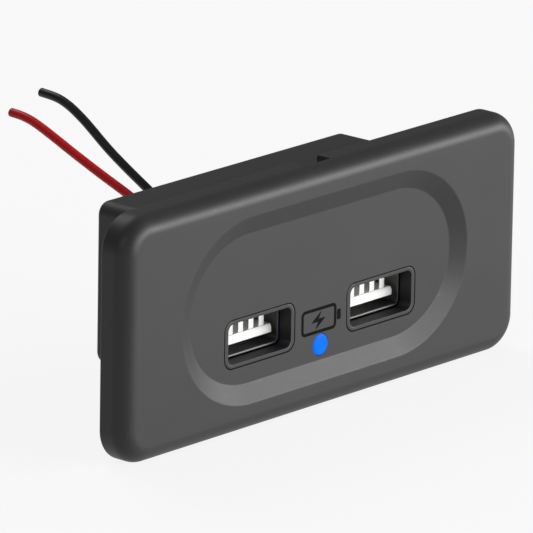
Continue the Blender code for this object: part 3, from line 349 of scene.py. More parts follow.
# The cut end is hollow, and seven strands stand in it: one in the middle and a ring of six
HOLLOW_RADIUS, HOLLOW_DEPTH, PAST_END = 0.36, 0.25, 0.3
STRAND_DIAMETER, STRAND_RING, STRANDS_ROUND = 0.22, 0.235, 6
STRAND_ROOT, STRAND_TIP = 0.245, 0.05
copper_strand = Finish("bare_copper_strand", (0.86, 0.42, 0.24), 0.3, metallic=1.0)
copper_strand.set(
    base_color=copper_strand.blend(copper_strand.noise(0.3), (0.9, 0.46, 0.27), (0.62, 0.25, 0.12)),
    roughness=0.24 + copper_strand.noise(0.12) * 0.3,
)
for color, (tint, x, outside) in WIRES.items():
    path = wire_route([(x, y, z) for y, z in PAD_TO_GROMMET] + outside, ROUTE_STEP)
    coat = insulation(f"{color}_insulation", tint)
    end, direction = path[-1], (path[-1] - path[-2]) / np.linalg.norm(path[-1] - path[-2])
    hollow = [end - direction * HOLLOW_DEPTH, end + direction * PAST_END]
    wire = add_piece(
        f"{color}_lead", tube_along(path, WIRE_DIAMETER / 2), coat, (f"{color}_wire",),
        [("DIFFERENCE", tube_along(hollow, HOLLOW_RADIUS, 20, 0.01))],
    )
    side = np.cross(direction, (0.0, 0.0, 1.0))
    side /= np.linalg.norm(side)
    lift = np.cross(side, direction)
    angles = np.arange(STRANDS_ROUND) * math.tau / STRANDS_ROUND
    spots = [(0.0, 0.0)] + [(STRAND_RING * math.cos(a), STRAND_RING * math.sin(a)) for a in angles]
    strands = []
    for across, up in spots:
        middle = end + side * across + lift * up
        ends = [middle - direction * STRAND_ROOT, middle - direction * STRAND_TIP]
        strands.append(tube_along(ends, STRAND_DIAMETER / 2, 10, 0.02))
    core = add_piece(f"{color}_lead_strands", gather(*strands), copper_strand)


# Front panel
# One moulding in satin black plastic, with rounded edges and a sunk oblong field whose wall
# slopes. Behind it a rim, ribs, a locating frame and two screw posts are moulded on.
def rounded(width, height, radius_x, radius_z=None, x=0.0, z=0.0, steps=20):
    """Points (x, z) round a rectangle whose corners are quarter ellipses.

    A point is its corner's middle plus the two radii times the cosine and the sine of an
    angle, which runs through a quarter turn at each corner.
    """
    radius_z = radius_x if radius_z is None else radius_z
    angle = (np.arange(4)[:, None] * np.pi / 2 + np.linspace(0, np.pi / 2, steps + 1)).ravel()
    side_x = np.repeat([1, -1, -1, 1], steps + 1)
    side_z = np.repeat([1, 1, -1, -1], steps + 1)
    return np.stack([
        x + side_x * (width / 2 - radius_x) + radius_x * np.cos(angle),
        z + side_z * (height / 2 - radius_z) + radius_z * np.sin(angle),
    ], axis=1)


def quarter(radius, steps):
    """Points (depth, inset) of a quarter circle that rounds an edge, from its side to its face.

    The depth is the radius times one less the sine of an angle that runs from 0 to a quarter
    turn, and the inset is the radius times one less its cosine.
    """
    angle = np.linspace(0, np.pi / 2, steps)
    return np.stack([radius * (1 - np.sin(angle)), radius * (1 - np.cos(angle))], axis=1)


def stacked(sections, ends="filled", axis=1):
    """A skin over flat outlines, each set at its own place along an axis: y, or z for axis 2."""
    return skin([np.insert(points, axis, place, axis=1) for place, points in sections], ends)


def slab(low, high, radius=0.15, steps=3):
    """A block between two corners: one rounded rectangle at its front and the same at its back."""
    (x0, y0, z0), (x1, y1, z1) = low, high
    face = rounded(x1 - x0, z1 - z0, radius, x=(x0 + x1) / 2, z=(z0 + z1) / 2, steps=steps)
    return stacked([(y0, face), (y1, face)])


def rod(x, z, diameter, front, back, sides=40):
    """A round rod along the depth: the middle plus half the diameter times cosine and sine."""
    angle = np.linspace(0, 2 * np.pi, sides, endpoint=False)
    circle = np.stack([x + diameter / 2 * np.cos(angle), z + diameter / 2 * np.sin(angle)], axis=1)
    return stacked([(front, circle), (back, circle)])


def moulded(name, color, roughness, specular, grain=0.0045):
    """Satin moulded plastic: fine spark-eroded grain, faint flow clouding, a few light rubs."""
    made = Finish(name, color, roughness, specular_ior_level=specular)
    cloud = made.noise(9.0, 3)
    fine = made.noise(0.11, 2)
    rub = made.spread(made.noise(1.6, 5, (1.0, 1.0, 0.35)), 0.6, 0.74, 0.0, 1.0)
    dark, pale = (tuple(c * share for c in color) for share in (0.93, 1.07))
    tone = made.blend(made.spread(cloud, 0.3, 0.7, 0.0, 1.0), dark, pale)
    tone = made.blend(made.spread(fine, 0.35, 0.75, 0.0, 0.3), tone, tuple(c * 1.18 for c in color))
    made.set(
        base_color=made.blend(rub * 0.16, tone, tuple(c * 1.3 for c in color)),
        roughness=roughness - 0.03 + cloud * 0.06 - rub * 0.05 + fine * 0.04,
        normal=made.bump(fine, grain),
    )
    return made


# The outside and the rim, then the sunk field with its slope, floor and two bends
PANEL_WIDTH, PANEL_HEIGHT, PANEL_FRONT = 81.4, 34.7, -4.7
PANEL_CORNER, PANEL_EDGE = 5.0, 2.5
RIM_WALL, RIM_BREAK, RIM_ROUND = 2.2, 0.25, 0.3
FIELD_WIDTH, FIELD_HEIGHT, FIELD_RADII = 58.7, 26.5, (14.3, 12.9)
FIELD_SLOPE, FIELD_FLOOR, FLOOR_BACK = 2.6, -3.6, -2.3
EDGE_BREAK, FLOOR_BLEND = 0.7, 0.6
# The frame that locates the housing, and the ribs from it to the rim, all rooted in the floor
HOUSING_WIDTH, HOUSING_HEIGHT, HOUSING_RADIUS, HOUSING_Z = 51.2, 23.4, 2.0, 1.8
FRAME_INSIDE, FRAME_OUTSIDE, FRAME_BREAK, FRAME_SHOULDER = 0.3, 1.3, 0.15, -0.2
RIB_HALF, RIB_BACK, RIB_ROOT = 0.5, -0.3, FLOOR_BACK - 0.65
RIM_X, RIM_Z, FRAME_X, FRAME_LOW = 39.6, 16.25, HOUSING_WIDTH / 2 + 0.8, -10.7
RIBS_ALONG_X = HOUSING_WIDTH * 0.4 * np.array([-1, -1 / 3, 1 / 3, 1])
RIBS_ALONG_Z = HOUSING_Z + HOUSING_HEIGHT * 0.35 * np.array([-1, 0, 1])
# The ports and the light, whose cutters pass through the floor between two depths
PORTS = {"left": -12.5, "right": 12.5}
PORT_Z, COLLAR_PLAY = -4.55, 0.16
COLLAR_OUTSIDE = (14.14, 6.78, 1.5)
LIGHT_Z, LIGHT_HOLE = -8.44, 3.16
THROUGH_FLOOR = (-4.9, -1.65)
# The screw posts with their pilot holes, and the pry notch in the back of the top edge
SCREWS = {"left": -21.6, "right": 21.6}
SCREW_Z, POST_DIAMETER, POST_BACK = 9.5, 4.0, 0.3
PILOT_DIAMETER, PILOT_BACK = 2.2, 2.9
NOTCH = (-2.7, -2.4, 15.95), (2.7, 2.4, 18.75)


def panel_ring(inset):
    """The panel's outline moved inwards: each side loses twice the inset, each corner once."""
    return rounded(PANEL_WIDTH - 2 * inset, PANEL_HEIGHT - 2 * inset, PANEL_CORNER - inset)


def field_ring(inset):
    """The sunk field's outline at the face, moved inwards in the same way."""
    return rounded(FIELD_WIDTH - 2 * inset, FIELD_HEIGHT - 2 * inset, *(r - inset for r in FIELD_RADII))


def housing_ring(grow):
    """The rear housing's outline moved outwards: each side gains twice grow, each corner once."""
    return rounded(HOUSING_WIDTH + 2 * grow, HOUSING_HEIGHT + 2 * grow, HOUSING_RADIUS + grow, z=HOUSING_Z)


def collar_ring(grow, x, size=COLLAR_OUTSIDE):
    """An outline round a port, of this width, height and radius, moved outwards in the same way."""
    width, height, radius = size
    return rounded(width + 2 * grow, height + 2 * grow, radius + grow, x=x, z=PORT_Z, steps=10)


# The profile runs from the back of the floor along the rim's inside, over the rim's flat back
# and the rounded edges to the face, and down the slope to the sunk floor. The two bends of the
# slope are arcs: the radius times one less the cosine deep, and the radius times the sine wide.
# Each starts as far before its corner as its radius times the tangent of half the slope's lean.
lean = math.atan2(FIELD_FLOOR - PANEL_FRONT, FIELD_SLOPE)
floor_reach, edge_reach = (radius * math.tan(lean / 2) for radius in (FLOOR_BLEND, EDGE_BREAK))
profile = [(FLOOR_BACK, panel_ring(RIM_WALL)), (-RIM_BREAK, panel_ring(RIM_WALL)),
           (0.0, panel_ring(RIM_WALL - RIM_BREAK))]
profile += [(-depth, panel_ring(inset)) for depth, inset in quarter(RIM_ROUND, 5)[::-1]]
profile += [(PANEL_FRONT + depth, panel_ring(inset)) for depth, inset in quarter(PANEL_EDGE, 17)]
profile += [(PANEL_FRONT + EDGE_BREAK * (1 - math.cos(a)), field_ring(EDGE_BREAK * math.sin(a) - edge_reach))
            for a in np.linspace(0, lean, 5)]
profile += [(FIELD_FLOOR - FLOOR_BLEND * (1 - math.cos(a)),
             field_ring(FIELD_SLOPE + floor_reach - FLOOR_BLEND * math.sin(a)))
            for a in np.linspace(lean, 0, 5)]
frame_inside, frame_outside = housing_ring(FRAME_INSIDE), housing_ring(FRAME_OUTSIDE)
raised = [stacked([
    (RIB_ROOT, frame_outside), (FRAME_SHOULDER, frame_outside),
    (0.0, housing_ring(FRAME_OUTSIDE - FRAME_BREAK)), (0.0, housing_ring(FRAME_INSIDE + FRAME_BREAK)),
    (FRAME_SHOULDER, frame_inside), (RIB_ROOT, frame_inside),
], "joined")]
for place in RIBS_ALONG_X:
    raised.append(slab((place - RIB_HALF, RIB_ROOT, -RIM_Z), (place + RIB_HALF, RIB_BACK, FRAME_LOW)))
for place in RIBS_ALONG_Z:
    raised.append(slab((-RIM_X, RIB_ROOT, place - RIB_HALF), (-FRAME_X, RIB_BACK, place + RIB_HALF)))
    raised.append(slab((FRAME_X, RIB_ROOT, place - RIB_HALF), (RIM_X, RIB_BACK, place + RIB_HALF)))
posts = [rod(x, SCREW_Z, POST_DIAMETER, RIB_ROOT, POST_BACK) for x in SCREWS.values()]
openings = [stacked([(y, collar_ring(COLLAR_PLAY, x)) for y in THROUGH_FLOOR]) for x in PORTS.values()]
openings.append(rod(0.0, LIGHT_Z, LIGHT_HOLE, *THROUGH_FLOOR, 56))
openings += [rod(x, SCREW_Z, PILOT_DIAMETER, FLOOR_BACK, PILOT_BACK, 24) for x in SCREWS.values()]
openings.append(slab(*NOTCH, 0.2))
panel_plastic = moulded("satin_black_moulding", (0.021, 0.021, 0.0215), 0.46, 0.32)
add_piece(
    "panel_moulding", stacked(profile), panel_plastic, ("front_panel",),
    [("UNION", shape) for shape in raised] + [("UNION", gather(*posts)), ("DIFFERENCE", gather(*openings))],
)

# Mark between the ports
# A small charging sign, pad-printed in black ink on the sunk floor: a battery's outline with
# its terminal at the right and a bolt in it. The ink stands a few hundredths proud.
MARK_Z, MARK_BACK, MARK_FRONT = -4.85, -3.595, -3.625
CASE_X, CASE_OUTSIDE, CASE_INSIDE = -0.4, (7.2, 3.7, 0.75), (6.3, 2.8, 0.35)
TERMINAL_START, TERMINAL_END, TERMINAL_HALF = 3.35, 4.1, 0.75
BOLT_X = -0.2
BOLT_CORNERS = [(0.3, 1.25), (-1.75, -0.2), (-0.3, -0.2), (-0.9, -1.25), (1.15, 0.22), (-0.25, 0.22)]
ink = Finish("black_ink", (0.002, 0.002, 0.002), 0.45, specular_ior_level=0.04)
ink_cloud = ink.noise(0.25, 3)
ink.set(
    roughness=0.26 + ink_cloud * 0.14,
    base_color=ink.blend(ink_cloud, (0.002, 0.002, 0.002), (0.006, 0.006, 0.006)),
    normal=ink.bump(ink_cloud, 0.003),
)
case_outer, case_inner = (rounded(*size, x=CASE_X, z=MARK_Z, steps=6) for size in (CASE_OUTSIDE, CASE_INSIDE))
case = stacked([(MARK_BACK, case_outer), (MARK_FRONT, case_outer), (MARK_FRONT, case_inner),
                (MARK_BACK, case_inner)], "joined")
terminal = slab((TERMINAL_START, MARK_FRONT, MARK_Z - TERMINAL_HALF),
                (TERMINAL_END, MARK_BACK, MARK_Z + TERMINAL_HALF), 0.2)
bolt_corners = np.array(BOLT_CORNERS) + (BOLT_X, MARK_Z)
bolt = stacked([(MARK_BACK, bolt_corners), (MARK_FRONT, bolt_corners)])
add_piece("charging_mark", gather(case, terminal, bolt), ink)

# Rear housing
# A separate box of matt black plastic behind the panel, open to the front. Its walls draw in
# a little towards the back, and two bosses take the screws that hold it on.
HOUSING_FRONT, HOUSING_BACK, HOUSING_WALL, HOUSING_DRAFT = -2.0, 15.0, 1.2, 0.2
REAR_RADIUS, REAR_INSIDE, MOUTH_BREAK = 0.7, 13.8, 0.15
# Rails under and over the board's two ends, and the bosses with their stepped bores
RAIL_HEIGHTS = ((-2.8, -1.8), (0.4, 1.4))
RAIL_FRONT, RAIL_BACK, RAIL_REACH = -0.6, 14.4, 2.8
BOSS_DIAMETER, BOSS_FRONT = 6.0, 0.6
HEAD_BORE, HEAD_SEAT, SHANK_BORE = 4.2, 5.2, 2.5
PAST_REAR = HOUSING_BACK + 1.2
# The grommet's hole in the rear wall, and the recess in the lower wall for the light pipe's bend
GROMMET_X, GROMMET_Z, GROMMET_HOLE = -11.7, 9.2, (7.5, 3.7, 1.85)
LIGHT_CORNER = (-1.8, -3.2, -11.1), (1.8, 0.4, -8.46)


def drawn_in(y):
    """How far the walls have drawn in at a depth: the draft times the share of the way back."""
    return HOUSING_DRAFT * (y - HOUSING_FRONT) / (HOUSING_BACK - HOUSING_FRONT)


mouth = HOUSING_FRONT + MOUTH_BREAK
walls = [
    (REAR_INSIDE, housing_ring(-HOUSING_WALL - HOUSING_DRAFT)), (mouth, housing_ring(-HOUSING_WALL)),
    (HOUSING_FRONT, housing_ring(-HOUSING_WALL + MOUTH_BREAK)), (HOUSING_FRONT, housing_ring(-MOUTH_BREAK)),
    (mouth, housing_ring(0.0)),
]
for depth, inset in quarter(REAR_RADIUS, 7):
    walls.append((HOUSING_BACK - depth, housing_ring(-drawn_in(HOUSING_BACK - depth) - inset)))
rails = []
rail_outer, rail_inner = HOUSING_WIDTH / 2 - HOUSING_WALL / 2, HOUSING_WIDTH / 2 - RAIL_REACH
for low, high in RAIL_HEIGHTS:
    rails.append(slab((-rail_outer, RAIL_FRONT, low), (-rail_inner, RAIL_BACK, high)))
    rails.append(slab((rail_inner, RAIL_FRONT, low), (rail_outer, RAIL_BACK, high)))
bosses = [rod(x, SCREW_Z, BOSS_DIAMETER, BOSS_FRONT, RAIL_BACK) for x in SCREWS.values()]
bores = [rod(x, SCREW_Z, HEAD_BORE, HEAD_SEAT, PAST_REAR, 48) for x in SCREWS.values()]
shanks = [rod(x, SCREW_Z, SHANK_BORE, RAIL_FRONT, HEAD_SEAT + 0.6, 32) for x in SCREWS.values()]
wire_opening = rounded(*GROMMET_HOLE, x=GROMMET_X, z=GROMMET_Z, steps=12)
housing_plastic = moulded("matt_black_moulding", (0.024, 0.024, 0.0245), 0.5, 0.34, 0.007)
add_piece(
    "housing_shell", stacked(walls), housing_plastic, ("rear_housing",),
    [("UNION", gather(*rails)), ("UNION", gather(*bosses)), ("DIFFERENCE", gather(*bores)),
     ("DIFFERENCE", gather(*shanks)),
     ("DIFFERENCE", stacked([(REAR_INSIDE - 0.6, wire_opening), (PAST_REAR, wire_opening)])),
     ("DIFFERENCE", slab(*LIGHT_CORNER))],
)

# Port collars
# A thin black frame round each port, flush with the sunk floor and held by a lip behind it.
# A fine shadow line shows where frame and floor meet.
COLLAR_WINDOW = (12.76, 5.76, 0.99)
COLLAR_LIP, LIP_FRONT, COLLAR_BACK = 0.4, -2.0, -1.5
# How deep under the face and how far in the broken front edges' points are
COLLAR_EDGE = [(0.0, 0.05), (0.015, 0.015), (0.05, 0.0)]
collar_plastic = moulded("black_frame_moulding", (0.021, 0.021, 0.0215), 0.45, 0.32, 0.003)
for side, x in PORTS.items():
    collar = [(FIELD_FLOOR + depth, collar_ring(-inset, x)) for depth, inset in COLLAR_EDGE]
    collar += [
        (LIP_FRONT, collar_ring(0.0, x)), (LIP_FRONT, collar_ring(COLLAR_LIP, x)),
        (COLLAR_BACK, collar_ring(COLLAR_LIP, x)), (COLLAR_BACK, collar_ring(0.0, x, COLLAR_WINDOW)),
    ]
    collar += [(FIELD_FLOOR + depth, collar_ring(inset, x, COLLAR_WINDOW))
               for depth, inset in reversed(COLLAR_EDGE)]
    add_piece(f"{side}_port_frame", stacked(collar, "joined"), collar_plastic,
              (f"port_collar_{side}",), smooth_angle=30)


# Receptacle shells
# Folded from nickel-plated steel sheet, with a seam along the bottom and a dull sheared lip.
# Sprung tabs are lanced from all four walls to grip a plug, legs are soldered to the board,
# and the top is open over the contact tails.
def bent_path(points, radius, steps=6):
    """A path in two dimensions whose inner corners are arcs of about the radius.

    Each arc starts and ends where it leaves the two runs, and its points are directions
    from its middle that turn evenly between those ends.
    """
    points = np.asarray(points, float)
    path = [points[:1]]
    for before, corner, after in zip(points, points[1:], points[2:]):
        into, out = before - corner, after - corner
        reach_limit = min(np.linalg.norm(into), np.linalg.norm(out)) / 2
        into, out = into / np.linalg.norm(into), out / np.linalg.norm(out)
        half = math.acos(np.clip(into.dot(out), -1, 1)) / 2
        reach = min(radius / math.tan(half), reach_limit)
        bend = reach * math.tan(half)
        middle = corner + (into + out) / np.linalg.norm(into + out) * (bend / math.sin(half))
        start, end = corner + into * reach - middle, corner + out * reach - middle
        t = np.linspace(0, 1, steps + 1)[:, None]
        fan = start * (1 - t) + end * t
        path.append(middle + fan / np.linalg.norm(fan, axis=1)[:, None] * bend)
    path.append(points[-1:])
    return np.concatenate(path)


def strip_sides(path, thickness):
    """The closed outline of a strip: the path moved half its thickness to each side.

    At a bend the points move along the mean of the two runs' normals, and farther by one over
    the cosine of half the bend's angle, so the strip keeps its thickness.
    """
    run = np.diff(path, axis=0)
    run /= np.linalg.norm(run, axis=1)[:, None]
    run_in = np.concatenate([run[:1], run])
    run_out = np.concatenate([run, run[-1:]])
    along = run_in + run_out
    along /= np.linalg.norm(along, axis=1)[:, None]
    across = np.stack([-along[:, 1], along[:, 0]], axis=1)
    across /= np.maximum((along * run_in).sum(axis=1), 0.5)[:, None]
    return np.concatenate([path + across * thickness / 2, (path - across * thickness / 2)[::-1]])


def swept(sides, low, high, place):
    """A solid between two like outlines, one at each end of a width; place sets the axes."""
    return skin([np.stack(place(sides[:, 0], sides[:, 1], np.full(len(sides), end)), axis=1)
                 for end in (low, high)])


# The inside of the shell, its sheet, its springs and slots, its legs, and what is cut open
SHELL_WIDTH, SHELL_HEIGHT = 12.6, 4.9
SHEET, BEND = 0.3, 0.6
SHELL_FRONT, SHELL_BACK, LIP_BREAK = -1.2, 12.5, 0.08
SPRING_FRONT, SPRING_BACK, SIDE_SPRING_BACK = 2.2, 7.2, 5.2
SPRING_OFFSET, SPRING_HALF, SPRING_SLOT, SPRING_DIP = 3.2, 1.0, 0.35, 0.4
SPRING_SHEET = SHEET - 0.075
LEG_X, LEG_FRONT, LEG_BACK, LEG_ROOT, LEG_TOP = 6.45, 5.9, 7.5, 1.375, 5.45
SEAM_HALF, SEAM_BOTTOM, SEAM_TOP, SEAM_BACK = 0.02, -2.9, -2.6, 7.0
WINDOW_HALF, WINDOW_FRONT, WINDOW_BACK, WINDOW_TOP = 4.7, 9.2, 12.8, 5.5


def shell_ring(grow, x):
    """The shell's inside in a cross-section, moved outwards: each side gains twice grow."""
    return rounded(SHELL_WIDTH + 2 * grow, SHELL_HEIGHT + 2 * grow, BEND + grow, x=x, z=PORT_Z, steps=6)


def spring_section(back, inside):
    """A sprung tab seen from its edge, with half its sheet on each side of a bent path.

    The path starts in the wall, dips inwards from the tab's root and turns up at its tip.
    """
    middle = inside + SHEET / 2
    root, tip = back + SPRING_SLOT, SPRING_FRONT + SPRING_SLOT
    path = bent_path([(root, middle), (back - SPRING_SLOT, middle), (tip + 2 * SHEET, middle - SPRING_DIP),
                      (tip, middle - SPRING_DIP / 2)], BEND, 5)
    return strip_sides(path, SPRING_SHEET)


def upright(side, x0, z0):
    """Axes for an outline of depth and height: its width lies along x; side -1 is upside down."""
    return lambda depth, height, width: (x0 + width, depth, z0 + side * height)


def sideways(side, x0, z0):
    """Axes for an outline of depth and reach: its width lies along z; side -1 is to the left."""
    return lambda depth, reach, width: (x0 + side * reach, depth, z0 + width)


# The plating's colour is kept far darker than bright nickel, a quarter to a third: partly its own tone,
# partly painted shade for the inside of the ports
steel = Finish("nickel_plated_steel_with_painted_shade", (0.32, 0.32, 0.33), 0.34, metallic=1.0)
drawn = steel.noise(0.5, 3, (1.0, 8.0, 1.0))
smudge = steel.noise(2.5, 3)
depth_in = steel.node("ShaderNodeSeparateXYZ", {}, {0: steel.place}).beside("Y")
sheared = steel.spread(depth_in, (SHELL_FRONT + 0.06) * MM, (SHELL_FRONT + 0.14) * MM, 1.0, 0.0)
plated = steel.blend(steel.spread(smudge, 0.35, 0.7, 0.0, 1.0), (0.33, 0.325, 0.32), (0.23, 0.227, 0.225))
steel.set(
    base_color=steel.blend(sheared, plated, (0.15, 0.15, 0.15)),
    roughness=0.28 + drawn * 0.16 + smudge * 0.1 + sheared * 0.08,
    normal=steel.bump(drawn, 0.004),
)
for side, x in PORTS.items():
    lip = quarter(LIP_BREAK, 4)
    tube = [(SHELL_FRONT + depth, shell_ring(inset, x)) for depth, inset in lip]
    tube += [(SHELL_FRONT + depth, shell_ring(SHEET - inset, x)) for depth, inset in lip[::-1]]
    tube += [(SHELL_BACK, shell_ring(SHEET, x)), (SHELL_BACK, shell_ring(0.0, x))]
    slots, springs = [], []
    for wall in (-1, 1):
        # A slot's cutter reaches from half way out to the wall to twice as far out
        near, far = sorted((wall * SHELL_HEIGHT / 4, wall * SHELL_HEIGHT))
        section = spring_section(SPRING_BACK, SHELL_HEIGHT / 2)
        for offset in (-SPRING_OFFSET, SPRING_OFFSET):
            low, high = offset - SPRING_HALF, offset + SPRING_HALF
            slots.append(slab((x + low - SPRING_SLOT, SPRING_FRONT, PORT_Z + near),
                              (x + high + SPRING_SLOT, SPRING_BACK, PORT_Z + far)))
            springs.append(swept(section, low, high, upright(wall, x, PORT_Z)))
        near, far = sorted((wall * SHELL_WIDTH / 4, wall * SHELL_WIDTH))
        slots.append(slab((x + near, SPRING_FRONT, PORT_Z - SPRING_HALF - SPRING_SLOT),
                          (x + far, SIDE_SPRING_BACK, PORT_Z + SPRING_HALF + SPRING_SLOT)))
        section = spring_section(SIDE_SPRING_BACK, SHELL_WIDTH / 2)
        springs.append(swept(section, -SPRING_HALF, SPRING_HALF, sideways(wall, x, PORT_Z)))
        near, far = sorted(wall * (LEG_X + half) for half in (-SPRING_SHEET / 2, SPRING_SHEET / 2))
        springs.append(slab((x + near, LEG_FRONT, PORT_Z + LEG_ROOT),
                            (x + far, LEG_BACK, PORT_Z + LEG_TOP), 0.04, 2))
    seam = slab((x - SEAM_HALF, SHELL_FRONT - 0.1, PORT_Z + SEAM_BOTTOM),
                (x + SEAM_HALF, SEAM_BACK, PORT_Z + SEAM_TOP), 0.005, 1)
    window = slab((x - WINDOW_HALF, WINDOW_FRONT, PORT_Z + SHELL_HEIGHT / 4),
                  (x + WINDOW_HALF, WINDOW_BACK, PORT_Z + WINDOW_TOP), 0.3, 4)
    add_piece(
        f"{side}_receptacle_shell", stacked(tube, "joined"), steel,
        (f"usb_shell_{side}",),
        [("DIFFERENCE", gather(*slots))] + [("UNION", shape) for shape in springs]
        + [("DIFFERENCE", window), ("DIFFERENCE", seam)],
    )

# Receptacle insulators
# White moulded nylon: a block at the back, and the tongue that stands in the port and carries
# the contacts in grooves. The tongue's front edge is chamfered to lead the plug in.
TONGUE_WIDTH, TONGUE_TIP, TONGUE_THICKNESS = 11.1, -0.7, 1.25
BLOCK_WIDTH, BLOCK_HEIGHT, BLOCK_RADIUS, BLOCK_BREAK = 12.3, 4.6, 0.6, 0.1
BLOCK_FRONT, BLOCK_BACK, TONGUE_ROOT = 8.0, 12.2, 8.525
GROOVE_HALF, GROOVE_FRONT, GROOVE_BACK, GROOVE_TOP = 0.65, BLOCK_FRONT - 0.3, 10.625, 2.75
CONTACT_PITCH = 2.1
# The tongue from its side, over its top: depth, and height above the port's middle
NOSE = [(TONGUE_ROOT, 0.0), (TONGUE_TIP + 0.26, 0.0), (TONGUE_TIP + 0.07, -0.28), (TONGUE_TIP + 0.015, -0.36),
        (TONGUE_TIP, -0.44), (TONGUE_TIP, -1.13), (TONGUE_TIP + 0.12, -TONGUE_THICKNESS),
        (TONGUE_ROOT, -TONGUE_THICKNESS)]
contact_offsets = (np.arange(4) - 1.5) * CONTACT_PITCH
nylon = Finish("white_nylon", (0.86, 0.86, 0.84), 0.42, subsurface_weight=0.08, specular_ior_level=0.45)
nylon.surface.inputs["Subsurface Radius"].default_value = (0.4 * MM, 0.4 * MM, 0.4 * MM)
nylon.surface.inputs["Subsurface Scale"].default_value = 1.0
milk = nylon.noise(1.4, 3)
nylon.set(
    base_color=nylon.blend(milk, (0.88, 0.88, 0.865), (0.8, 0.8, 0.78)),
    roughness=0.36 + milk * 0.14,
    normal=nylon.bump(nylon.noise(0.12, 2), 0.003),
)
for side, x in PORTS.items():
    front, body = (
        rounded(BLOCK_WIDTH - 2 * inset, BLOCK_HEIGHT - 2 * inset, BLOCK_RADIUS - inset,
                x=x, z=PORT_Z, steps=5)
        for inset in (BLOCK_BREAK, 0.0)
    )
    block = stacked([(BLOCK_FRONT, front), (BLOCK_FRONT + BLOCK_BREAK, body), (BLOCK_BACK, body)])
    tongue = swept(np.array(NOSE), -TONGUE_WIDTH / 2, TONGUE_WIDTH / 2, upright(1, x, PORT_Z))
    grooves = [slab((x + offset - GROOVE_HALF, GROOVE_FRONT, PORT_Z),
                    (x + offset + GROOVE_HALF, GROOVE_BACK, PORT_Z + GROOVE_TOP), 0.05, 2)
               for offset in contact_offsets]
    add_piece(f"{side}_insulator", block, nylon, (f"usb_insulator_{side}",),
              [("UNION", tongue), ("DIFFERENCE", gather(*grooves))], smooth_angle=18)

# Contacts
# Four strips of plated copper alloy in each port. Each rises at the tongue's tip, ramps down
# to the tongue, runs through the block and turns up into the board.
CONTACT_WIDTH, CONTACT_SHEET, CONTACT_BEND, CONTACT_BREAK = 1.0, 0.25, 0.2, 0.04
NOSE_Y, NOSE_TOP, RAMP_LENGTH, RUN_Z, TAIL_Y, TAIL_TOP = -0.875, 1.8, 5.875, 0.275, 10.2, 5.45
plating = Finish("bright_contact_plating", (0.8, 0.79, 0.76), 0.26, metallic=1.0)
wiped = plating.noise(0.35, 3, (1.0, 6.0, 1.0))
plating.set(
    base_color=plating.blend(wiped, (0.84, 0.83, 0.81), (0.74, 0.73, 0.7)),
    roughness=0.24 + wiped * 0.14,
    normal=plating.bump(wiped, 0.0015),
)
contact_path = bent_path(
    [(NOSE_Y, RUN_Z), (NOSE_Y, NOSE_TOP), (NOSE_Y + 0.375, NOSE_TOP + 0.125), (NOSE_Y + RAMP_LENGTH, RUN_Z),
     (TAIL_Y, RUN_Z), (TAIL_Y, TAIL_TOP)], CONTACT_BEND)
contact_sides = strip_sides(contact_path, CONTACT_SHEET)
for side, x in PORTS.items():
    for number, offset in enumerate(contact_offsets, start=1):
        low, high = offset - CONTACT_WIDTH / 2, offset + CONTACT_WIDTH / 2
        strip = swept(contact_sides, low, high, upright(1, x, PORT_Z))
        add_piece(f"{side}_contact_{number}", strip, plating,
                  (f"usb_contact_{side}_{number}",), bevel=CONTACT_BREAK)

# Blue light
# A clear moulded light pipe: its round head shows under the ports, and a bar behind the floor
# carries the light down from the chip on the board, turned by a mirror face at the bend.
glow = Finish("lit_blue_lens", (0.0, 0.004, 0.03), 0.3, specular_ior_level=0.06,
              emission_color=(0.0, 0.18, 1.0), emission_strength=1.0)
spot = glow.node("ShaderNodeSeparateXYZ", {}, {0: glow.place})
to_middle = glow.node("ShaderNodeCombineXYZ", {}, {0: spot, 2: spot.beside("Z") - LIGHT_Z * MM})
from_middle = glow.node("ShaderNodeVectorMath", {"operation": "LENGTH"}, {0: to_middle}, output="Value")
rim = glow.spread(from_middle, 1.0 * MM, 1.5 * MM, 0.0, 1.0)
haze = glow.noise(0.7, 2)
glow.set(
    emission_color=glow.blend(rim, glow.blend(haze, (0.0, 0.18, 1.0), (0.0, 0.21, 1.0)), (0.0, 0.15, 0.85)),
    roughness=0.24 + haze * 0.12,
)
# The head's profile of radius and depth, turned about its middle, and the bar seen from the side
HEAD_PROFILE, HEAD_SIDES = [(0.9, -3.745), (1.3, -3.72), (1.44, -3.68), (1.5, -3.6), (1.5, -1.3)], 56
BAR_SIDES, BAR_HALF = [(-2.0, -9.94), (-2.0, -2.4), (0.1, -2.4), (0.1, -8.155), (-1.685, -9.94)], 1.5
angle = np.linspace(0, 2 * np.pi, HEAD_SIDES, endpoint=False)
head_rings = [np.stack([r * np.cos(angle), np.full(HEAD_SIDES, y), LIGHT_Z + r * np.sin(angle)], axis=1)
              for r, y in HEAD_PROFILE]
bar = swept(np.array(BAR_SIDES), -BAR_HALF, BAR_HALF, upright(1, 0.0, 0.0))
add_piece("blue_light_pipe", skin(head_rings), glow, ("light_pipe",), [("UNION", bar)])

# Grommet
# Black rubber, pressed into the rear wall: a neck in the wall, a lip on each side of it and a
# hole for each wire.
rubber = Finish("black_rubber", (0.022, 0.022, 0.022), 0.62, specular_ior_level=0.35)
bloom = rubber.noise(1.2, 4)
rubber.set(
    base_color=rubber.blend(bloom, (0.018, 0.018, 0.018), (0.034, 0.033, 0.032)),
    roughness=0.55 + bloom * 0.2,
    normal=rubber.bump(rubber.noise(0.2, 3), 0.008),
)
NECK_WIDTH, NECK_HEIGHT = 7.2, 3.4
# The wires' holes: their diameter and the two depths that their cutters run between
WIRE_HOLE, HOLE_START, HOLE_END = 1.6, 11.4, 17.4
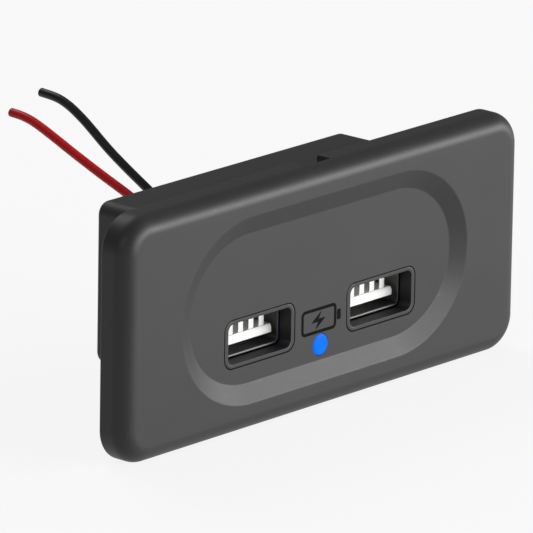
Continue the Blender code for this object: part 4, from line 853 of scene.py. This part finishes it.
# The depth of each ring and how far it stands out from the neck
LIPS = [(12.95, 0.42), (13.0, 0.58), (13.15, 0.7), (13.65, 0.7), (13.65, 0.0), (15.15, 0.0), (15.15, 0.7),
        (15.65, 0.7), (15.8, 0.58), (15.85, 0.42)]


def grommet_ring(grow):
    """The neck's outline with full round ends, moved outwards: each side gains twice grow."""
    return rounded(NECK_WIDTH + 2 * grow, NECK_HEIGHT + 2 * grow, NECK_HEIGHT / 2 + grow, x=GROMMET_X,
                   z=GROMMET_Z, steps=12)


wire_holes = gather(*(rod(x, GROMMET_Z, WIRE_HOLE, HOLE_START, HOLE_END, 28) for _, x, _ in WIRES.values()))
add_piece("rubber_grommet", stacked([(y, grommet_ring(grow)) for y, grow in LIPS]), rubber,
          ("wire_grommet",), [("DIFFERENCE", wire_holes)])


# Housing screws
# Two plated steel screws with a cheese head and a cross recess, driven from behind through
# the housing into the panel's posts.
screw_steel = Finish("plated_screw_steel", (0.45, 0.45, 0.46), 0.34, metallic=1.0)
plate_cloud = screw_steel.noise(0.6, 3)
screw_steel.set(
    base_color=screw_steel.blend(plate_cloud, (0.5, 0.5, 0.5), (0.36, 0.355, 0.35)),
    roughness=0.26 + plate_cloud * 0.2,
    normal=screw_steel.bump(screw_steel.noise(0.15, 2), 0.003),
)
THREAD_PITCH, CORE_RADIUS, CREST_RADIUS = 0.8, 0.72, 1.02
SHANK_FRONT, SHANK_BACK, HEAD_BACK = -2.0, 5.2, 6.5
SCREW_SIDES, THREAD_RINGS = 32, 160
SLOT_LONG, SLOT_WIDE, SLOT_DEPTH, SLOT_TAPER = 2.1, 0.48, 0.85, 0.55
# The point, then after the thread the neck and the head: radius and depth of each ring
POINT = [(0.12, SHANK_FRONT), (0.6, SHANK_FRONT + 0.45)]
HEAD = [(0.93, SHANK_BACK - 0.7), (0.95, SHANK_BACK), (1.7, SHANK_BACK), (1.8, SHANK_BACK + 0.1),
        (1.8, HEAD_BACK - 0.35), (1.72, HEAD_BACK - 0.15), (1.5, HEAD_BACK - 0.04), (1.2, HEAD_BACK)]
turns = np.linspace(0, 2 * np.pi, SCREW_SIDES, endpoint=False)
thread_depths = np.linspace(SHANK_FRONT + 0.6, SHANK_BACK - 0.8, THREAD_RINGS)[:, None]


def screw_ring(reach, depth, x):
    """A ring round a screw: its middle plus the reach times the cosine and sine of each turn."""
    return np.stack([x + reach * np.cos(turns), depth + 0 * turns, SCREW_Z + reach * np.sin(turns)], axis=-1)


for side, x in SCREWS.items():
    # The thread's radius is the core's plus a sharp ridge, which climbs one pitch for each turn
    phase = (thread_depths / THREAD_PITCH - turns / (2 * np.pi)) % 1.0
    ridge = CORE_RADIUS + (CREST_RADIUS - CORE_RADIUS) * np.clip(1 - np.abs(phase - 0.5) * 4, 0, 1)
    rings = [screw_ring(reach, y, x) for reach, y in POINT]
    rings += [*screw_ring(ridge, thread_depths, x)]
    rings += [screw_ring(reach, y, x) for reach, y in HEAD]
    arms = []
    for wide, high in ((SLOT_LONG, SLOT_WIDE), (SLOT_WIDE, SLOT_LONG)):
        foot = rounded(wide * SLOT_TAPER, high * SLOT_TAPER, 0.08, x=x, z=SCREW_Z, steps=2)
        mouth = rounded(wide, high, 0.12, x=x, z=SCREW_Z, steps=2)
        arms.append(stacked([(HEAD_BACK - SLOT_DEPTH, foot), (HEAD_BACK + 0.1, mouth)]))
    add_piece(f"{side}_housing_screw", skin(rings), screw_steel, (f"housing_screw_{side}",),
              [("DIFFERENCE", arm) for arm in arms])

# Circuit board
# Glass-fibre laminate over the receptacles, green with solder mask; the copper areas show
# through it as paler fields. Legs, tails and wires are soldered in on its upper side.
BOARD_TOP = 0.1
# Each copper area's two ends along x and then along y
COPPER_AREAS = [
    (-22.4, -6.9, 0.1, 1.6), (-17.5, -7.6, 6.6, 7.0), (-14.6, -12.6, 7.2, 9.2), (-10.8, -8.8, 7.2, 9.2),
    (-9.6, -3.4, 4.4, 5.6), (-3.0, 3.0, 2.2, 3.0), (3.4, 11.2, 6.0, 7.4), (-4.2, 9.0, 11.4, 12.3),
    (7.4, 22.4, 0.0, 0.9), (16.9, 22.2, 8.9, 11.6), (-22.2, -16.9, 8.9, 11.6), (18.2, 19.0, 3.0, 8.9),
    (-19.6, -18.9, 3.4, 8.9),
]
laminate = Finish("green_laminate", (0.02, 0.15, 0.06), 0.3, coat_weight=0.3)
spot = laminate.node("ShaderNodeSeparateXYZ", {}, {0: laminate.place})


def copper_area(x0, x1, y0, y1):
    """1 inside a rectangle of the board, from how far a point is from its middle each way."""
    near_x = abs(spot - (x0 + x1) / 2 * MM) < (x1 - x0) / 2 * MM
    near_y = abs(spot.beside("Y") - (y0 + y1) / 2 * MM) < (y1 - y0) / 2 * MM
    return near_x * near_y


copper = copper_area(*COPPER_AREAS[0])
for area in COPPER_AREAS[1:]:
    copper = copper.math("MAXIMUM", copper, copper_area(*area))
weave = laminate.node("ShaderNodeTexWave", {"bands_direction": "DIAGONAL"},
                      {"Vector": laminate.place, "Scale": 900.0, "Distortion": 1.5})
mask_tone = laminate.blend(laminate.noise(1.8, 1), (0.012, 0.1, 0.036), (0.022, 0.14, 0.055))
laminate.set(
    base_color=laminate.blend(copper * 0.75, mask_tone, (0.06, 0.3, 0.11)),
    roughness=0.24 + weave * 0.1 + copper * 0.04,
    normal=laminate.bump(weave * 0.3 + copper, 0.025),
)


def dress(node, finish):
    """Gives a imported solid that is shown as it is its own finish."""
    part = bpy.data.objects[node]
    part.data.materials.clear()
    part.data.materials.append(finish.material)


dress("circuit_board", laminate)

solder = Finish("solder", (0.68, 0.68, 0.67), 0.3, metallic=1.0)
ripple = solder.noise(0.3, 3)
solder.set(
    base_color=solder.blend(ripple, (0.74, 0.74, 0.73), (0.55, 0.55, 0.54)),
    roughness=0.2 + ripple * 0.25,
    normal=solder.bump(ripple, 0.01),
)
# Half the width and depth of each solder joint, at its foot and round the pin that it holds
TAIL_JOINT = (0.98, 0.72), (0.54, 0.17)
LEG_JOINT = (0.72, 1.3), (0.2, 0.86)
WIRE_JOINT, WIRE_JOINT_HEIGHT = ((1.25, 1.25), (0.75, 0.75)), 0.4
PAD_Y = PAD_TO_GROMMET[0][0]


def fillet(x, y, foot, neck, height=0.55):
    """Solder drawn up a pin: its half widths shrink with the square of what is left of its height."""
    rings = []
    for share in np.linspace(0, 1, 6):
        left = (1 - share)**2
        width, depth = (2 * (n + (f - n) * left) for f, n in zip(foot, neck))
        rings.append((BOARD_TOP + height * share, rounded(width, depth, 0.1 + 0.3 * left, x=x, z=y, steps=5)))
    return stacked(rings, axis=2)


joints = [fillet(x + offset, TAIL_Y, *TAIL_JOINT) for x in PORTS.values() for offset in contact_offsets]
joints += [fillet(x + leg, (LEG_FRONT + LEG_BACK) / 2, *LEG_JOINT) for x in PORTS.values()
           for leg in (-LEG_X, LEG_X)]
joints += [fillet(x, PAD_Y, *WIRE_JOINT, WIRE_JOINT_HEIGHT) for _, x, _ in WIRES.values()]
add_piece("solder_joints", gather(*joints), solder)


# Inductor
# A drum of dark ferrite, wound between its cheeks with one layer of enamelled copper wire. It
# stands upright on the board over the middle, and the board's solder holds it.
def lathed(x, y, profile, ends="filled", sides=56):
    """A profile turned about an upright line through (x, y).

    The profile holds a radius and a height above the parts' seat for each ring, whose points
    are the line's place plus the radius times the cosine and sine of each turn.
    """
    angle = np.linspace(0, 2 * np.pi, sides, endpoint=False)
    reach, height = np.asarray(profile, float).T[:, :, None]
    return skin(np.stack([x + reach * np.cos(angle), y + reach * np.sin(angle), SEAT + height + 0 * angle],
                         axis=2), ends)


SEAT = 0.25
DRUM_X, DRUM_Y = 0.0, 6.7
DRUM = [(0.05, 5.2), (3.35, 5.2), (3.46, 5.16), (3.5, 5.05), (3.5, 4.4), (3.4, 4.3), (1.8, 4.3), (1.8, 0.9),
        (3.4, 0.9), (3.5, 0.8), (3.5, 0.12), (3.4, 0.0), (0.05, 0.0)]
WINDING_LOW, WINDING_HIGH, TURN_COUNT = 1.05, 4.15, 6
WINDING_INSIDE, WINDING_OUTSIDE = 1.95, 3.2
ferrite = Finish("dark_ferrite", (0.07, 0.07, 0.08), 0.6)
ferrite.set(
    base_color=ferrite.blend(ferrite.noise(0.4, 4), (0.05, 0.05, 0.056), (0.1, 0.1, 0.11)),
    roughness=0.5 + ferrite.noise(0.5, 3) * 0.25,
    normal=ferrite.bump(ferrite.noise(0.2, 4), 0.02),
)
add_piece("inductor_drum", lathed(DRUM_X, DRUM_Y, DRUM), ferrite, ("inductor_core",))
enamel = Finish("enamelled_copper", (0.72, 0.33, 0.15), 0.3, metallic=1.0, coat_weight=0.5)
enamel.set(
    base_color=enamel.blend(enamel.noise(0.8, 3), (0.78, 0.36, 0.17), (0.55, 0.2, 0.08)),
    roughness=0.24 + enamel.noise(0.3, 2) * 0.2,
)
# Each turn's outside is half a circle; the turns lie against each other from cheek to cheek
turn_radius = (WINDING_HIGH - WINDING_LOW) / TURN_COUNT / 2
winding = [(WINDING_INSIDE, WINDING_LOW)]
for turn_number in range(TURN_COUNT):
    low = WINDING_LOW + turn_radius * 2 * turn_number
    winding += [(WINDING_OUTSIDE - turn_radius * (1 - math.sin(a)), low + turn_radius * (1 - math.cos(a)))
                for a in np.linspace(0, np.pi, 9)]
winding.append((WINDING_INSIDE, WINDING_HIGH))
add_piece("inductor_turns", lathed(DRUM_X, DRUM_Y, winding, "joined"), enamel,
          ("inductor_winding",), smooth_angle=60)


# Capacitors
# Electrolytic capacitors in drawn aluminium cans: a rolled groove above the seal, a scored
# relief cross in the top, and a dark field printed over the negative side.
def can_finish(x, radius, top, share=0.35, under=0.15):
    """Drawn aluminium with upright lines, and on the top a dark field at the left.

    The field is one comparison times another: a point's x is less than the middle's less this
    share of the radius, and its z is more than the top's less this much under it.
    """
    can = Finish("drawn_can", (0.62, 0.63, 0.65), 0.34, metallic=1.0)
    lines = can.noise(0.5, 3, (1.0, 1.0, 0.08))
    where = can.node("ShaderNodeSeparateXYZ", {}, {0: can.place})
    dark = ((x - radius * share) * MM > where) * (where.beside("Z") > (top - under) * MM)
    metal = can.blend(lines, (0.68, 0.69, 0.71), (0.52, 0.53, 0.55))
    can.set(
        base_color=can.blend(dark, metal, (0.015, 0.015, 0.016)),
        metallic=1.0 - dark,
        roughness=0.24 + lines * 0.2 + dark * 0.2,
        normal=can.bump(lines, 0.004),
    )
    return can


# Each can's place (x, y), its radius and its height
CANS = {
    "input_capacitor": (12.5, 5.0, 4.0, 9.0),
    "output_capacitor_left": (-6.05, 2.85, 2.0, 5.4),
    "output_capacitor_right": (-6.05, 10.55, 2.0, 5.4),
}
TOP_SINK, POLE, BASE_BREAK = 0.06, 0.05, 0.12
SCORE_SHARE, SCORE_HALF, SCORE_DEPTH, SCORE_ABOVE = 0.62, 0.06, 0.16, 0.2
ROLL_SHARE, GROOVE_SHARE = 0.1, 0.32
for node, (x, y, radius, height) in CANS.items():
    roll, groove = radius * ROLL_SHARE, radius * GROOVE_SHARE
    # The top edge is a quarter circle; the groove is as deep as the roll times a squared sine
    edge = [(radius - inset, height - depth) for depth, inset in quarter(roll, 7)[::-1]]
    waist = [(radius - roll * math.sin(a)**2, groove * (2.5 - a / math.pi))
             for a in np.linspace(0, math.pi, 13)]
    body = [(POLE, height - TOP_SINK), (radius - 1.6 * roll, height - TOP_SINK), *edge, *waist,
            (radius, BASE_BREAK), (radius - BASE_BREAK, 0.0), (POLE, 0.0)]
    arm, top = radius * SCORE_SHARE, SEAT + height
    low, high = top - SCORE_DEPTH, top + SCORE_ABOVE
    scores = [slab((x - along, y - across, low), (x + along, y + across, high), 0.03, 2)
              for along, across in ((arm, SCORE_HALF), (SCORE_HALF, arm))]
    add_piece(f"{node}_can", lathed(x, y, body), can_finish(x, radius, top), (node,),
              [("DIFFERENCE", score) for score in scores])


# Chips, fuse, rectifier and light chip
# Moulded black packages with tinned leads or end caps; a pale dot marks the first pin. The
# light chip is white ceramic with a yellow phosphor window in its middle.
def package_finish(name, x, y, half_x, half_y, dot):
    """Black resin within half_x and half_y of the middle (x, y), and tinned metal past them."""
    resin = Finish(name, (0.03, 0.03, 0.03), 0.55)
    grit = resin.noise(0.12, 3)
    where = resin.node("ShaderNodeSeparateXYZ", {}, {0: resin.place})
    past_x = abs(where - x * MM) > half_x * MM
    past_y = abs(where.beside("Y") - y * MM) > half_y * MM
    tinned = past_x.math("MAXIMUM", past_x, past_y)
    black = resin.blend(resin.noise(0.4, 3), (0.02, 0.02, 0.02), (0.04, 0.04, 0.04))
    if dot:
        first_pin = ((x - half_x + 0.55) * MM, (y - half_y + 0.5) * MM, 0.0)
        flat = resin.node("ShaderNodeCombineXYZ", {}, {0: where, 1: where.beside("Y")})
        from_dot = resin.node(
            "ShaderNodeVectorMath", {"operation": "DISTANCE"}, {0: flat, 1: first_pin}, output="Value")
        black = resin.blend((from_dot < 0.22 * MM) * 0.8, black, (0.3, 0.3, 0.29))
    resin.set(
        base_color=resin.blend(tinned, black, (0.66, 0.66, 0.65)),
        metallic=tinned,
        roughness=0.56 - tinned * 0.26 + grit * 0.06,
        normal=resin.bump(grit, 0.006),
    )
    return resin


# How far each package's resin reaches from its middle along x and y, and whether it has a dot
PACKAGES = {
    "converter_chip": (2.45, 1.96, True),
    "port_controller_left": (1.45, 0.81, True),
    "port_controller_right": (1.45, 0.81, True),
    "rectifier_diode": (1.42, 1.2, False),
    "input_fuse": (1.36, 1.2, False),
}
PHOSPHOR_HALF_X, PHOSPHOR_HALF_Y = 0.5, 0.28
for node, (half_x, half_y, dot) in PACKAGES.items():
    low, high = (Vector(corner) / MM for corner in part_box(node))
    middle = (low + high) / 2
    dress(node, package_finish(f"{node}_package", middle.x, middle.y, half_x, half_y, dot))
ceramic = Finish("light_chip_ceramic", (0.85, 0.84, 0.8), 0.4)
chip_place = ceramic.node("ShaderNodeSeparateXYZ", {}, {0: ceramic.place})
chip_low, chip_high = (Vector(corner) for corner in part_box("light_chip"))
chip_middle = (chip_low + chip_high) / 2
phosphor = (abs(chip_place - chip_middle.x) < PHOSPHOR_HALF_X * MM) * (
    abs(chip_place.beside("Y") - chip_middle.y) < PHOSPHOR_HALF_Y * MM)
white_tone = ceramic.blend(ceramic.noise(0.2), (0.86, 0.85, 0.82), (0.78, 0.77, 0.73))
ceramic.set(
    base_color=ceramic.blend(phosphor, white_tone, (0.85, 0.66, 0.12)),
    roughness=0.35 + ceramic.noise(0.15) * 0.2,
)
dress("light_chip", ceramic)

# Floor, lamps and surroundings
# A pale floor under the panel's lower edge. A wide, low softbox stands in front to the right,
# where the satin plastic mirrors it; two weak ones, above the left and behind, fill in.
FLOOR_Z, FLOOR_REACH = cad_box[0][2] / MM - 0.02, 3000.0
FLOOR_COLOR, FLOOR_SEEN, WHITE_SHARE = (0.35, 0.35, 0.35), (0.9, 0.9, 0.9), 0.85
# Rays from the camera, from mirrors and through clear plastic see a nearly white floor
pale = Finish("pale_floor", FLOOR_COLOR, 0.9)
ray = pale.node("ShaderNodeLightPath")
mirrored = ray.math("MAXIMUM", ray.beside("Is Glossy Ray"), ray.beside("Is Transmission Ray"))
seen = ray.math("MAXIMUM", ray, mirrored)
pale.set(base_color=pale.blend(seen, FLOOR_COLOR, FLOOR_SEEN))
white = pale.node("ShaderNodeEmission", {}, {"Color": (1.0, 1.0, 1.0), "Strength": 1.0})
lit = Signal(pale, pale.surface.outputs[0])
shared = pale.node("ShaderNodeMixShader", {}, {0: seen * WHITE_SHARE, 1: lit, 2: white})
pale.tree.links.new(shared.socket, pale.tree.nodes["Material Output"].inputs["Surface"])
floor_corners = rounded(2 * FLOOR_REACH, 2 * FLOOR_REACH, 0.0, steps=0)
floor = add_object("studio_floor", (np.insert(floor_corners, 2, FLOOR_Z, axis=1), [[0, 1, 2, 3]]))
floor.data.materials.append(pale.material)

WORLD_STRENGTH = 0.22
world = bpy.data.worlds.new("studio")
world.use_nodes = True
bpy.context.scene.world = world
background = world.node_tree.nodes["Background"]
background.inputs["Color"].default_value = (1.0, 1.0, 1.0, 1.0)
background.inputs["Strength"].default_value = WORLD_STRENGTH

# Each lamp: azimuth from the panel's front towards its right, elevation, distance, sides, watts
LAMPS = {
    "softbox_front_right": (35.0, 8.0, 1000, (1300, 260), 17.5),
    "softbox_above_left": (-75.0, 30.0, 1000, (400, 400), 1.3),
    "softbox_behind_above": (165.0, 50.0, 1000, (500, 500), 2.6),
}
for name, (azimuth, elevation, away, sides, watts) in LAMPS.items():
    lamp_data = bpy.data.lights.new(name, "AREA")
    lamp_data.shape = "RECTANGLE"
    lamp_data.size, lamp_data.size_y = (side * MM for side in sides)
    lamp_data.energy = watts
    lamp = bpy.data.objects.new(name, lamp_data)
    bpy.context.scene.collection.objects.link(lamp)
    around, up = math.radians(azimuth), math.radians(elevation)
    toward = Vector((math.sin(around) * math.cos(up), -math.cos(around) * math.cos(up), math.sin(up)))
    aimed = toward.to_track_quat("Z", "Y").to_matrix().to_4x4()
    lamp.matrix_world = Matrix.Translation(toward * away * MM) @ aimed
